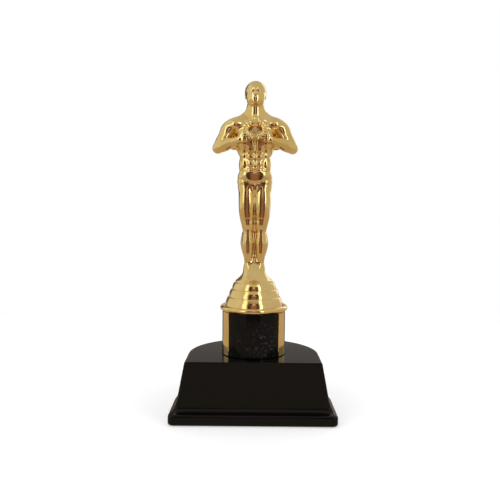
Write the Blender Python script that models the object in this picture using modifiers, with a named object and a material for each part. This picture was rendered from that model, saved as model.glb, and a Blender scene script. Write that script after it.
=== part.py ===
"""A figure trophy: a gilt standing figure with a laurel wreath, on a ringed plinth, a round column
with gilt strips and a black base. The base is flat in front, round behind and hollow underneath.
One tie rod runs through the stack and clamps it from below, so figure and column turn on the rod.

Metres, +Z up. The front faces -Y. The origin is on the table, under the middle of the base.
"""

import math
from collections import namedtuple

import bmesh
import bpy
from mathutils import Matrix, Vector

MM = 0.001

# A swelling of the figure: its place from the joint that it belongs to, and its half sizes.
Mass = namedtuple("Mass", "offset radii")

# Fits
SEAT_GAP = 0.3 * MM
ROD_CLEARANCE = 0.4 * MM

# Base
BASE_HEIGHT = 36 * MM
BASE_TOP_WIDTH = 82 * MM
BASE_TOP_STRAIGHT = 25 * MM
BASE_TOP_THICKNESS = 3 * MM
BASE_TOP_EDGE = 0.8 * MM
BASE_WALL = 2.4 * MM
BASE_SIDE_LEAN = 5.6 * MM
FOOT_FLARE = 9 * MM
FOOT_FRONT_STEP = 6 * MM
FOOT_HEIGHT = 6.5 * MM
FOOT_EDGE = 1.6 * MM
SWEEP_HEIGHT = 8 * MM
FRONT_SWEEP_HEIGHT = 2.7 * MM
FRONT_SWEEP = 3 * MM
CORNER_RADIUS_TOP = 0.8 * MM
CORNER_RADIUS_FOOT = 3 * MM
RIB_THICKNESS = 1.6 * MM
RIB_DEPTH = 5 * MM
BOSS_RADIUS = 8 * MM
BOSS_DEPTH = 6 * MM
LOCATING_RING_HEIGHT = 3 * MM
LOCATING_RING_WALL = 2 * MM

# Column
COLUMN_SETBACK = 26.5 * MM
COLUMN_DIAMETER = 40 * MM
COLUMN_HEIGHT = 26.6 * MM
COLUMN_WALL = 2.2 * MM
STRIP_WIDTH = 7.2 * MM
STRIP_THICKNESS = 0.8 * MM
STRIP_PROUD = 0.25 * MM
STRIP_ANGLES = {
    "strip_left": math.radians(-60),
    "strip_right": math.radians(60),
    "strip_rear": math.radians(180),
}

# Cap
CAP_DIAMETER = 42.8 * MM
CAP_FLANGE_HEIGHT = 3.3 * MM
CAP_DISH_DEPTH = 1 * MM
CAP_FLOOR_THICKNESS = 2.2 * MM
CAP_SPIGOT_LENGTH = 5 * MM
CAP_SPIGOT_WALL = 2 * MM
CAP_LIP = 0.8 * MM

# Plinth: three rings, each a cone that ends in a rounded shoulder
PLINTH_DIAMETER = 37 * MM
PLINTH_TOP_DIAMETER = 25.6 * MM
PLINTH_RING_HEIGHTS = (5.9 * MM, 4.8 * MM, 4.2 * MM)
PLINTH_RING_STEP = 0.6 * MM
PLINTH_SHOULDER = 0.6 * MM
PLINTH_RIM_DEPTH = 0.8 * MM
PLINTH_RIM_WIDTH = 0.6 * MM
PLINTH_WALL = 2 * MM
PLINTH_BOSS_RADIUS = 8.4 * MM
PLINTH_POCKET_FLOOR = 4 * MM

# Rod and fasteners
ROD_DIAMETER = 6 * MM
ROD_TAIL = 4 * MM
NUT_ACROSS_FLATS = 10 * MM
NUT_HEIGHT = 5 * MM
NUT_CHAMFER = 0.6 * MM
WASHER_DIAMETER = 14 * MM
WASHER_THICKNESS = 1.2 * MM

# Figure: lengths from joint to joint, from the sole upwards
ANKLE_HEIGHT = 9.8 * MM
SHIN_LENGTH = 27.8 * MM
THIGH_LENGTH = 24.4 * MM
ABDOMEN_LENGTH = 14.6 * MM
RIBS_LENGTH = 13.2 * MM
SHOULDER_RISE = 7.6 * MM
NAPE_RISE = 11 * MM
NECK_LENGTH = 15 * MM
SKULL_RISE = 9.7 * MM
ELBOW_DROP = 12 * MM
WRIST_RISE = 1.8 * MM
WRIST_REACH = 9.6 * MM
FOOT_LENGTH = 11.4 * MM
CALF_SHARE = 0.55
INSTEP_SHARE = 0.75
HEEL_SET_BACK = 3.6 * MM
MOUND_HEIGHT = 2.2 * MM
MOUND_NECK_HEIGHT = 8.5 * MM

# Figure: distances between the left and right joints
ANKLE_SPACING = 6.2 * MM
TOE_SPACING = 9.4 * MM
KNEE_SPACING = 8.6 * MM
HIP_SPACING = 10.4 * MM
SHOULDER_SPACING = 33.4 * MM
ELBOW_SPACING = 48 * MM
WRIST_SPACING = 20.4 * MM
NAPE_SPACING = 5.2 * MM
COLLAR_SPACING = 25 * MM

# Figure: how far joints lie behind the plane of the seam, or in front of it
ANKLE_BACK = 1.2 * MM
ELBOW_FORWARD = 1 * MM
COLLAR_BACK = 1 * MM
NAPE_BACK = 1.4 * MM
NECK_BACK = 0.6 * MM

# Figure: radii of the limbs at their joints
ANKLE_RADIUS = 2.7 * MM
HEEL_RADIUS = 3 * MM
TOE_RADIUS = 1.9 * MM
INSTEP_RADIUS = 2.2 * MM
SHIN_RADIUS = 3.1 * MM
CALF_RADIUS = 4.2 * MM
KNEE_RADIUS = 3.9 * MM
HIP_RADIUS = 5.3 * MM
SHOULDER_RADIUS = 4.3 * MM
ELBOW_RADIUS = 3.3 * MM
WRIST_RADIUS = 2.3 * MM
NECK_RADIUS = 5.5 * MM
TRAPEZIUS_RADIUS = 3 * MM
WEB_RADIUS = 1.9 * MM
MOUND_NECK_RADIUS = 5.2 * MM

# Figure: swellings, in millimetres, with x outwards, -y forwards and z up
CALF = Mass((0.3, 2.3, -10.8), (4.1, 4.3, 9.5))
KNEECAP = Mass((0, -1.7, 0), (3.5, 3.4, 4))
FRONT_THIGH = Mass((0.9, -2.4, 13.8), (4.5, 4, 14))
OUTER_THIGH = Mass((2.2, -0.2, 13.8), (3.7, 4.4, 13))
BACK_THIGH = Mass((0.6, 2.8, 12.8), (4.3, 3.7, 13))
BUTTOCK = Mass((-0.8, 4.4, 2.4), (4.9, 4.2, 5.8))
HIP_SIDE = Mass((2.2, 0.4, 3.8), (3.5, 5.2, 7.5))
PELVIS = Mass((0, 0.3, 4.2), (10.3, 6.5, 7.5))
GROIN = Mass((0, -3, -1), (2.6, 3, 4))
WAIST = Mass((0, -0.2, 0), (9.7, 5.8, 10))
OBLIQUE = Mass((7.3, -0.2, -1.6), (3, 4.7, 7))
COLLAR = Mass((0, 0.8, 8.4), (14, 5.4, 5))
RIBS = Mass((0, 0.3, 0), (12.2, 7.2, 13.5))
FLANK = Mass((9.6, 1.6, 0), (3.8, 4.8, 10))
SHOULDER_BLADE = Mass((4.9, 5, 2.4), (5, 3, 8))
BREAST = Mass((5.5, -5.2, 4.2), (6.4, 3.3, 5.4))
SHOULDER_CAP_LEAN = math.radians(-22)
SHOULDER_CAP = Mass((-0.5, 0.6, -0.2), (4.9, 5.1, 6.3))
ARM_WEB = Mass((13.6, 1.2, 2.4), (6, 2.6, 6.5))
UPPER_ARM_LEAN = math.radians(-33)
UPPER_ARM = Mass((-3.8, -0.6, 5.6), (3.6, 3.7, 5.4))
FOREARM = Mass((-5.4, -3.9, 0.7), (4.8, 3.6, 3.2))
FIST = Mass((-2.6, -1.8, 2.2), (2.9, 2, 3))
ABDOMINAL = Mass((2.7, -4.5, 0), (2.6, 1.5, 2.5))
ABDOMINAL_HEIGHTS = (-4.8, 0.4, 5.4)
SKULL = Mass((0, 0.9, 0), (6.7, 7.6, 7.5))
FACE = Mass((0, -2.4, -4.4), (5.6, 5, 6))
CHIN = Mass((0, -5.4, -8.4), (2.7, 1.8, 1.8))
NOSE = Mass((0, -7.2, -2.9), (0.9, 1.3, 1.9))
BROW = Mass((2.3, -5.1, 0), (2.6, 1.4, 1.3))
EAR = Mass((6.3, 0.9, -2.2), (0.9, 1.6, 2.2))
HAIR = Mass((0, 1.6, 1.4), (6.8, 7.1, 6.1))

# Figure: moulding
FIGURE_WALL = 1.9 * MM
BODY_GRAIN = 0.6 * MM
BODY_SMOOTHING = 9
FIGURE_GRAIN = 0.45 * MM
FIGURE_SMOOTHING = 2
FIGURE_DETAIL = 0.031
CORE_GRAIN = 1 * MM
CORE_DETAIL = 0.16

# Wreath
WREATH_RADIUS = 6.8 * MM
WREATH_RISE = 4.6 * MM
WREATH_REACH = 9.6 * MM
WREATH_OPENING = math.radians(80)
STEM_RADIUS = 0.8 * MM
LEAF_LENGTH = 4.2 * MM
LEAF_WIDTH = 2.1 * MM
LEAF_THICKNESS = 1.6 * MM
LEAF_SPLAY = math.radians(28)
LEAVES_A_SIDE = 7

# Facets
TURNED_STEPS = 48
FASTENER_STEPS = 24
BACK_STEPS = 24
ROLL_STEPS = 8
CORNER_STEPS = 3
EDGE_STEPS = 2
BALL_RINGS = 12
FRONT_SWEEP_SHARES = (0.2, 0.45, 0.7, 1)
SIDE_SWEEP_SHARES = (0.5, 0.75, 1)
SHARP_EDGE = math.radians(35)
WELD = 0.001 * MM

# Levels, from the table upwards
COLUMN_BASE_Z = BASE_HEIGHT + SEAT_GAP
COLUMN_TOP_Z = COLUMN_BASE_Z + COLUMN_HEIGHT
CAP_Z = COLUMN_TOP_Z + SEAT_GAP
CAP_FLOOR_Z = CAP_Z + CAP_FLANGE_HEIGHT - CAP_DISH_DEPTH
PLINTH_Z = CAP_FLOOR_Z + SEAT_GAP
PLINTH_HEIGHT = sum(PLINTH_RING_HEIGHTS)
PLINTH_RIM_RADIUS = PLINTH_TOP_DIAMETER / 2 - PLINTH_SHOULDER - PLINTH_RIM_WIDTH
PLINTH_FLOOR_Z = PLINTH_Z + PLINTH_HEIGHT - PLINTH_RIM_DEPTH
SOLE_Z = PLINTH_FLOOR_Z + SEAT_GAP
FIGURE_NUT_TOP_Z = PLINTH_FLOOR_Z - SEAT_GAP
BOSS_Z = BASE_HEIGHT - BASE_TOP_THICKNESS - BOSS_DEPTH
WASHER_TOP_Z = BOSS_Z - SEAT_GAP
CLAMP_NUT_TOP_Z = WASHER_TOP_Z - WASHER_THICKNESS - SEAT_GAP

# Plan of the base, from front to back
FOOT_DEPTH = FOOT_FRONT_STEP + BASE_TOP_STRAIGHT + BASE_TOP_WIDTH / 2 + FOOT_FLARE
FRONT_Y = FOOT_FRONT_STEP - FOOT_DEPTH / 2
ROUND_Y = FRONT_Y + BASE_TOP_STRAIGHT
COLUMN_Y = FRONT_Y + COLUMN_SETBACK

ROD_HOLE_RADIUS = ROD_DIAMETER / 2 + ROD_CLEARANCE
NUT_BORE_RADIUS = ROD_DIAMETER / 2 + SEAT_GAP
TUBE_BORE_RADIUS = COLUMN_DIAMETER / 2 - COLUMN_WALL
SPIGOT_RADIUS = TUBE_BORE_RADIUS - SEAT_GAP


# Scene helpers


def clear_scene():
    for old in list(bpy.data.objects):
        bpy.data.objects.remove(old, do_unlink=True)


def new_collection(name):
    collection = bpy.data.collections.new(name)
    bpy.context.scene.collection.children.link(collection)
    return collection


def new_material(name, colour, roughness, metallic=0.0):
    made = bpy.data.materials.new(name)
    made.use_nodes = True
    shader = made.node_tree.nodes["Principled BSDF"]
    shader.inputs["Base Color"].default_value = (*colour, 1)
    shader.inputs["Roughness"].default_value = roughness
    shader.inputs["Metallic"].default_value = metallic
    return made


def new_object(name, mesh, collection, parent=None):
    made = bpy.data.objects.new(name, mesh)
    collection.objects.link(made)
    made.parent = parent
    return made


def new_part(name, mesh, finish, parent=None):
    """A piece of the trophy, shaded smooth apart from its edges."""
    made = new_object(name, mesh, PARTS, parent)
    mesh.materials.clear()
    mesh.materials.append(finish)
    mesh.shade_smooth()
    mesh.set_sharp_from_angle(angle=SHARP_EDGE)
    return made


def new_cutter(name, mesh, parent=None):
    made = new_object(name, mesh, CUTTERS, parent)
    made.hide_render = True
    made.display_type = "WIRE"
    return made


def new_axis(name, z):
    """An empty on the rod's axis, which the pieces that turn together hang from."""
    axis = new_object(name, None, PARTS)
    axis.location = (0, COLUMN_Y, z)
    return axis


def new_seat(name, z, axis):
    """An empty at a height, carried by an axis."""
    seat = new_object(name, None, PARTS, axis)
    seat.location.z = z - axis.location.z
    return seat


def combine(target, operation, tool):
    modifier = target.modifiers.new(tool.name, "BOOLEAN")
    modifier.operation = operation
    modifier.solver = "EXACT"
    modifier.object = tool


def mesh_of(shape, name):
    mesh = bpy.data.meshes.new(name)
    shape.to_mesh(mesh)
    shape.free()
    return mesh


def evaluated_mesh(source):
    """The mesh that an object's modifiers or curve give. The object is removed."""
    bpy.context.view_layer.update()
    graph = bpy.context.evaluated_depsgraph_get()
    mesh = bpy.data.meshes.new_from_object(source.evaluated_get(graph))
    bpy.data.objects.remove(source, do_unlink=True)
    return mesh


# Shapes


def arc(radius, start, end, steps):
    """Points (x, y) on a round stretch about the origin, both ends included."""
    angles = (start + (end - start) * step / steps for step in range(steps + 1))
    return [(radius * math.cos(angle), radius * math.sin(angle)) for angle in angles]


def turned(name, profile, steps=TURNED_STEPS):
    """A solid turned about Z from a closed profile of (radius, z), which runs down its outer side."""
    shape = bmesh.new()
    points = [shape.verts.new((radius, 0, z)) for radius, z in profile]
    for index, point in enumerate(points):
        shape.edges.new((points[index - 1], point))
    helper = new_object(name, mesh_of(shape, name), CUTTERS)
    screw = helper.modifiers.new("Screw", "SCREW")
    screw.steps = screw.render_steps = steps
    screw.use_merge_vertices = True
    screw.merge_threshold = WELD
    return evaluated_mesh(helper)


def plate(name, outlines, z, height):
    """A flat outline, with any holes, raised from z by its height."""
    curve = bpy.data.curves.new(name, "CURVE")
    curve.dimensions = "2D"
    curve.fill_mode = "BOTH"
    curve.extrude = height / 2
    for outline in outlines:
        spline = curve.splines.new("POLY")
        spline.points.add(len(outline) - 1)
        spline.use_cyclic_u = True
        for point, (x, y) in zip(spline.points, outline):
            point.co = (x, y, 0, 1)
    mesh = evaluated_mesh(new_object(name, curve, CUTTERS))
    shape = bmesh.new()
    shape.from_mesh(mesh)
    bmesh.ops.remove_doubles(shape, verts=shape.verts, dist=WELD)
    bmesh.ops.recalc_face_normals(shape, faces=shape.faces)
    bmesh.ops.translate(shape, verts=shape.verts, vec=(0, 0, z + height / 2))
    shape.to_mesh(mesh)
    shape.free()
    return mesh


def rod(name, radius, bottom, top, sides=FASTENER_STEPS):
    shape = bmesh.new()
    bmesh.ops.create_cone(
        shape,
        cap_ends=True,
        segments=sides,
        radius1=radius,
        radius2=radius,
        depth=top - bottom,
        matrix=Matrix.Translation((0, 0, (top + bottom) / 2)),
    )
    return mesh_of(shape, name)


def block(name, low, high):
    shape = bmesh.new()
    low, high = Vector(low), Vector(high)
    place = Matrix.Translation((low + high) / 2) @ Matrix.Diagonal((*(high - low), 1))
    bmesh.ops.create_cube(shape, size=1, matrix=place)
    return mesh_of(shape, name)


def loft(name, rings):
    """A closed solid through rings of equally many points, from the lowest ring to the highest."""
    shape = bmesh.new()
    loops = [[shape.verts.new(point) for point in ring] for ring in rings]
    for lower, upper in zip(loops, loops[1:]):
        for index in range(len(lower)):
            shape.faces.new((lower[index - 1], lower[index], upper[index], upper[index - 1]))
    shape.faces.new(reversed(loops[0]))
    shape.faces.new(loops[-1])
    bmesh.ops.recalc_face_normals(shape, faces=shape.faces)
    return mesh_of(shape, name)


# Base


def base_ring(z, side, front):
    """The base's plan at one height: straight in front, round behind. side and front are how far
    it stands out past the top's plan."""
    half = BASE_TOP_WIDTH / 2 + side
    front_y = FRONT_Y - front
    growth = max(side, 0) / FOOT_FLARE
    corner = CORNER_RADIUS_TOP + (CORNER_RADIUS_FOOT - CORNER_RADIUS_TOP) * growth
    right = arc(corner, -math.pi / 2, 0, CORNER_STEPS)
    left = arc(corner, math.pi, 1.5 * math.pi, CORNER_STEPS)
    plan = [(half - corner + x, front_y + corner + y) for x, y in right]
    plan += [(x, ROUND_Y + y) for x, y in arc(half, 0, math.pi, BACK_STEPS)]
    plan += [(corner - half + x, front_y + corner + y) for x, y in left]
    return [(x, y, z) for x, y in plan]


def side_lean(z):
    """How far the sides lean out at a height, without the sweep above the foot."""
    return BASE_SIDE_LEAN * (BASE_HEIGHT - z) / (BASE_HEIGHT - FOOT_HEIGHT)


def base_wall_ring(z):
    """The plan of the wall above the foot: the sides lean and sweep out, the front only sweeps."""
    reach = FOOT_FLARE - FOOT_EDGE - BASE_SIDE_LEAN
    side = side_lean(z) + reach * max(0, 1 - (z - FOOT_HEIGHT) / SWEEP_HEIGHT) ** 2
    front = FRONT_SWEEP * max(0, 1 - (z - FOOT_HEIGHT) / FRONT_SWEEP_HEIGHT) ** 2
    return base_ring(z, side, front)


def base_outside():
    rings = []
    for x, y in arc(FOOT_EDGE, -math.pi / 2, 0, CORNER_STEPS):
        inset = FOOT_EDGE - x
        rings.append(base_ring(FOOT_EDGE + y, FOOT_FLARE - inset, FOOT_FRONT_STEP - inset))
    for x, y in arc(FOOT_EDGE, 0, math.pi / 2, CORNER_STEPS):
        inset = FOOT_EDGE - x
        z = FOOT_HEIGHT - FOOT_EDGE + y
        rings.append(base_ring(z, FOOT_FLARE - inset, FOOT_FRONT_STEP - inset))
    front_levels = [FOOT_HEIGHT + FRONT_SWEEP_HEIGHT * share for share in FRONT_SWEEP_SHARES]
    side_levels = [FOOT_HEIGHT + SWEEP_HEIGHT * share for share in SIDE_SWEEP_SHARES]
    for z in front_levels + side_levels:
        rings.append(base_wall_ring(z))
    for x, y in arc(BASE_TOP_EDGE, 0, math.pi / 2, EDGE_STEPS):
        z = BASE_HEIGHT - BASE_TOP_EDGE + y
        inset = BASE_TOP_EDGE - x
        rings.append(base_ring(z, side_lean(z) - inset, -inset))
    return loft("base_shell", rings)


def base_core():
    """The hollow under the base, with slots where the ribs and the boss stay."""
    roof = BASE_HEIGHT - BASE_TOP_THICKNESS
    floor = -SEAT_GAP
    levels = [(floor, side_lean(0)), (roof, side_lean(roof))]
    rings = [base_ring(z, lean - BASE_WALL, -BASE_WALL) for z, lean in levels]
    core = new_cutter("base_core", loft("base_core", rings))
    rib = RIB_THICKNESS / 2
    rib_z = roof - RIB_DEPTH
    above = BASE_HEIGHT + SEAT_GAP
    far = FOOT_DEPTH
    across = block("rib_across", (-far, COLUMN_Y - rib, rib_z), (far, COLUMN_Y + rib, above))
    along = block("rib_along", (-rib, -far, rib_z), (rib, far, above))
    combine(core, "DIFFERENCE", new_cutter("rib_across", across))
    combine(core, "DIFFERENCE", new_cutter("rib_along", along))
    boss = new_cutter("base_boss", rod("base_boss", BOSS_RADIUS, BOSS_Z, above))
    boss.location.y = COLUMN_Y
    combine(core, "DIFFERENCE", boss)
    return core


def build_base(finish):
    shell = new_part("base_shell", base_outside(), finish)
    combine(shell, "DIFFERENCE", base_core())
    ring_top = BASE_HEIGHT + LOCATING_RING_HEIGHT
    ring_root = BASE_HEIGHT - BASE_TOP_THICKNESS / 2
    inner = SPIGOT_RADIUS - LOCATING_RING_WALL
    profile = [(SPIGOT_RADIUS, ring_top), (SPIGOT_RADIUS, ring_root), (inner, ring_root), (inner, ring_top)]
    ring = new_cutter("locating_ring", turned("locating_ring", profile))
    hole = new_cutter("rod_hole", rod("rod_hole", ROD_HOLE_RADIUS, 0, ring_top))
    ring.location.y = hole.location.y = COLUMN_Y
    combine(shell, "UNION", ring)
    combine(shell, "DIFFERENCE", hole)


# Column, cap and plinth


def front_arc(radius, middle, width, steps):
    """A round stretch of a given width about Z. The angle of its middle counts from the front."""
    half = width / radius / 2
    return arc(radius, middle - math.pi / 2 - half, middle - math.pi / 2 + half, steps)


def build_column(black, gold, axis):
    outer = COLUMN_DIAMETER / 2
    groove_floor = outer + STRIP_PROUD - STRIP_THICKNESS - SEAT_GAP
    groove_width = STRIP_WIDTH + 2 * SEAT_GAP
    outline = []
    for middle in sorted(STRIP_ANGLES.values()):
        land = 2 * math.pi / len(STRIP_ANGLES) * outer - groove_width
        outline += front_arc(groove_floor, middle, groove_width * groove_floor / outer, CORNER_STEPS)
        outline += front_arc(outer, middle + math.pi / len(STRIP_ANGLES), land, TURNED_STEPS // 3)
    bore = arc(TUBE_BORE_RADIUS, 0, 2 * math.pi, TURNED_STEPS)[:-1]
    new_part("column_tube", plate("column_tube", [outline, bore], 0, COLUMN_HEIGHT), black, axis)
    face = outer + STRIP_PROUD
    back = face - STRIP_THICKNESS
    for name, middle in STRIP_ANGLES.items():
        outline = front_arc(face, middle, STRIP_WIDTH, CORNER_STEPS)
        outline += reversed(front_arc(back, middle, STRIP_WIDTH * back / face, CORNER_STEPS))
        new_part(name, plate(name, [outline], 0, COLUMN_HEIGHT), gold, axis)


def build_cap(finish, axis):
    z = CAP_Z - COLUMN_BASE_Z
    top = z + CAP_FLANGE_HEIGHT
    floor = top - CAP_DISH_DEPTH
    under = floor - CAP_FLOOR_THICKNESS
    spigot_z = z - CAP_SPIGOT_LENGTH
    roll = CAP_FLANGE_HEIGHT / 2
    rim = CAP_DIAMETER / 2
    dish = PLINTH_DIAMETER / 2 + SEAT_GAP
    inner = SPIGOT_RADIUS - CAP_SPIGOT_WALL
    profile = [(ROD_HOLE_RADIUS, floor), (dish, floor), (dish + CAP_LIP / 2, top)]
    profile += [(rim - roll + x, z + roll + y) for x, y in arc(roll, math.pi / 2, -math.pi / 2, ROLL_STEPS)]
    profile += [(SPIGOT_RADIUS, z), (SPIGOT_RADIUS, spigot_z + CAP_LIP)]
    profile += [(SPIGOT_RADIUS - CAP_LIP, spigot_z), (inner, spigot_z), (inner, under)]
    profile += [(ROD_HOLE_RADIUS, under)]
    new_part("column_cap", turned("column_cap", profile), finish, axis)


def plinth_rings():
    """Radii at the foot and the shoulder of each ring, from the lowest ring to the highest."""
    drop = (PLINTH_DIAMETER - PLINTH_TOP_DIAMETER) / 2
    slope = (drop - PLINTH_RING_STEP * (len(PLINTH_RING_HEIGHTS) - 1)) / PLINTH_HEIGHT
    radius = PLINTH_DIAMETER / 2
    z = 0
    for height in PLINTH_RING_HEIGHTS:
        yield radius, z, radius - slope * height, z + height
        radius -= slope * height + PLINTH_RING_STEP
        z += height


def build_plinth(finish, axis):
    outside = []
    for foot, low, shoulder, high in plinth_rings():
        outside.append((foot, low))
        lean = math.atan2(foot - shoulder, high - low)
        outside += [
            (shoulder - PLINTH_SHOULDER + x, high - PLINTH_SHOULDER + y)
            for x, y in arc(PLINTH_SHOULDER, lean, math.pi / 2, CORNER_STEPS)
        ]
    floor = PLINTH_HEIGHT - PLINTH_RIM_DEPTH
    pocket_z = FIGURE_NUT_TOP_Z - PLINTH_Z - NUT_HEIGHT - SEAT_GAP
    boss_z = pocket_z - PLINTH_POCKET_FLOOR
    roof = floor - PLINTH_WALL
    throat = PLINTH_TOP_DIAMETER / 2 - PLINTH_WALL
    profile = [(ROD_HOLE_RADIUS, floor), (PLINTH_RIM_RADIUS, floor), (PLINTH_RIM_RADIUS, PLINTH_HEIGHT)]
    profile += reversed(outside)
    profile += [(PLINTH_DIAMETER / 2 - PLINTH_WALL, 0), (throat, roof), (PLINTH_BOSS_RADIUS, roof)]
    profile += [(PLINTH_BOSS_RADIUS, boss_z), (ROD_HOLE_RADIUS, boss_z)]
    plinth = new_part("figure_plinth", turned("figure_plinth", profile), finish, axis)
    pocket_radius = (NUT_ACROSS_FLATS / 2 + SEAT_GAP) / math.cos(math.pi / 6)
    pocket = rod("nut_pocket", pocket_radius, pocket_z, PLINTH_HEIGHT, sides=6)
    combine(plinth, "DIFFERENCE", new_cutter("nut_pocket", pocket, axis))


# Rod and fasteners


def hex_nut(name, top, finish, axis):
    """A hex nut with its corners chamfered above and below and a bore for the rod."""
    bottom = top - NUT_HEIGHT
    corner = NUT_ACROSS_FLATS / 2 / math.cos(math.pi / 6)
    flat = NUT_ACROSS_FLATS / 2
    nut = new_part(name, rod(name, corner, bottom, top, sides=6), finish, axis)
    outside = [(flat, top), (corner, top - NUT_CHAMFER), (corner, bottom + NUT_CHAMFER), (flat, bottom)]
    profile = outside + [(NUT_BORE_RADIUS, bottom), (NUT_BORE_RADIUS, top)]
    turning = turned(name + "_turning", profile, FASTENER_STEPS)
    combine(nut, "INTERSECT", new_cutter(name + "_turning", turning, axis))


def build_fasteners(steel, axis):
    z = axis.location.z
    hex_nut("figure_nut", FIGURE_NUT_TOP_Z - z, steel, axis)
    hex_nut("clamp_nut", CLAMP_NUT_TOP_Z - z, steel, axis)
    rod_bottom = CLAMP_NUT_TOP_Z - NUT_HEIGHT - ROD_TAIL
    new_part("tie_rod", rod("tie_rod", ROD_DIAMETER / 2, rod_bottom - z, FIGURE_NUT_TOP_Z - z), steel, axis)
    top = WASHER_TOP_Z
    bottom = top - WASHER_THICKNESS
    outer = WASHER_DIAMETER / 2
    washer = [(outer, top), (outer, bottom), (ROD_HOLE_RADIUS, bottom), (ROD_HOLE_RADIUS, top)]
    part = new_part("clamp_washer", turned("clamp_washer", washer, FASTENER_STEPS), steel)
    part.location.y = COLUMN_Y


# Figure


class Joints:
    """Places of the figure's joints above its sole, for one side of the body."""

    def __init__(self, side):
        knee = ANKLE_HEIGHT + SHIN_LENGTH
        hip = knee + THIGH_LENGTH
        waist = hip + ABDOMEN_LENGTH
        ribs = waist + RIBS_LENGTH
        shoulder = ribs + SHOULDER_RISE
        neck = shoulder + NECK_LENGTH
        elbow = shoulder - ELBOW_DROP
        self.ankle = Vector((side * ANKLE_SPACING / 2, ANKLE_BACK, ANKLE_HEIGHT))
        self.heel = Vector((side * ANKLE_SPACING / 2, HEEL_SET_BACK, HEEL_RADIUS))
        self.toe = Vector((side * TOE_SPACING / 2, HEEL_SET_BACK - FOOT_LENGTH, TOE_RADIUS))
        self.knee = Vector((side * KNEE_SPACING / 2, 0, knee))
        self.hip = Vector((side * HIP_SPACING / 2, 0, hip))
        self.crotch = Vector((0, 0, hip))
        self.waist = Vector((0, 0, waist))
        self.ribs = Vector((0, 0, ribs))
        self.shoulder = Vector((side * SHOULDER_SPACING / 2, 0, shoulder))
        self.elbow = Vector((side * ELBOW_SPACING / 2, -ELBOW_FORWARD, elbow))
        self.wrist = self.elbow + Vector(
            (side * (WRIST_SPACING - ELBOW_SPACING) / 2, -WRIST_REACH, WRIST_RISE)
        )
        self.nape = Vector((side * NAPE_SPACING / 2, NAPE_BACK, shoulder + NAPE_RISE))
        self.collar = Vector((side * COLLAR_SPACING / 2, COLLAR_BACK, shoulder + TRAPEZIUS_RADIUS))
        self.throat = Vector((0, NAPE_BACK, shoulder))
        self.neck = Vector((0, NECK_BACK, neck))
        self.skull = Vector((0, 0, neck + SKULL_RISE))


def press(clay, create, **sizes):
    """Adds one primitive to the clay. It is made apart first, which is quicker in a large mesh."""
    lump = bmesh.new()
    create(lump, **sizes)
    mesh = mesh_of(lump, "lump")
    clay.from_mesh(mesh)
    bpy.data.meshes.remove(mesh)


def sphere(clay, radius, place):
    press(
        clay,
        bmesh.ops.create_uvsphere,
        u_segments=2 * BALL_RINGS,
        v_segments=BALL_RINGS,
        radius=radius,
        matrix=place,
    )


def ball(clay, joint, mass, side=1, lean=0, shrink=0):
    """Adds a swelling at its joint, on one side of the body. lean tips its top outwards."""
    x, y, z = mass.offset
    centre = joint + Vector((side * x, y, z)) * MM
    radii = [radius * MM - shrink for radius in mass.radii]
    tip = Matrix.Rotation(side * lean, 4, "Y")
    place = Matrix.Translation(centre) @ tip @ Matrix.Diagonal((*radii, 1))
    sphere(clay, 1, place)


def limb(clay, start, start_radius, end, end_radius):
    """Adds a round tapered limb between two joints."""
    for centre, radius in ((start, start_radius), (end, end_radius)):
        sphere(clay, radius, Matrix.Translation(centre))
    way = end - start
    place = Matrix.Translation((start + end) / 2) @ way.to_track_quat("Z", "Y").to_matrix().to_4x4()
    press(
        clay,
        bmesh.ops.create_cone,
        cap_ends=True,
        segments=2 * BALL_RINGS,
        radius1=start_radius,
        radius2=end_radius,
        depth=way.length,
        matrix=place,
    )


def add_leg(clay, side):
    at = Joints(side)
    calf = at.ankle.lerp(at.knee, CALF_SHARE)
    instep = at.heel.lerp(at.toe, INSTEP_SHARE)
    limb(clay, at.heel, HEEL_RADIUS, at.toe, TOE_RADIUS)
    limb(clay, at.ankle, ANKLE_RADIUS, instep, INSTEP_RADIUS)
    limb(clay, at.ankle, ANKLE_RADIUS, calf, CALF_RADIUS)
    limb(clay, at.ankle, ANKLE_RADIUS, at.knee, SHIN_RADIUS)
    limb(clay, at.knee, KNEE_RADIUS, at.hip, HIP_RADIUS)
    for mass in (CALF, KNEECAP, FRONT_THIGH, OUTER_THIGH, BACK_THIGH):
        ball(clay, at.knee, mass, side)
    for mass in (BUTTOCK, HIP_SIDE):
        ball(clay, at.hip, mass, side)


def add_torso(clay, side):
    at = Joints(side)
    ball(clay, at.waist, OBLIQUE, side)
    for mass in (FLANK, SHOULDER_BLADE, BREAST):
        ball(clay, at.ribs, mass, side)


def add_arm(clay, side):
    at = Joints(side)
    limb(clay, at.nape, TRAPEZIUS_RADIUS, at.collar, TRAPEZIUS_RADIUS)
    ball(clay, at.shoulder, SHOULDER_CAP, side, SHOULDER_CAP_LEAN)
    limb(clay, at.shoulder, SHOULDER_RADIUS, at.elbow, ELBOW_RADIUS)
    ball(clay, at.elbow, UPPER_ARM, side, UPPER_ARM_LEAN)
    ball(clay, at.ribs, ARM_WEB, side)
    limb(clay, at.elbow, ELBOW_RADIUS, at.wrist, WRIST_RADIUS)
    ball(clay, at.elbow, FOREARM, side)


def add_mound(clay):
    """The low mound under the feet, which flares out from the ankles to the plinth's rim."""
    edge = PLINTH_RIM_RADIUS - SEAT_GAP
    ball(clay, Vector(), Mass((0, 0, 0), (edge / MM, edge / MM, MOUND_HEIGHT / MM)))
    press(
        clay,
        bmesh.ops.create_cone,
        cap_ends=True,
        segments=2 * BALL_RINGS,
        radius1=edge - MOUND_HEIGHT,
        radius2=MOUND_NECK_RADIUS,
        depth=MOUND_NECK_HEIGHT,
        matrix=Matrix.Translation((0, 0, MOUND_NECK_HEIGHT / 2)),
    )


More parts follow.
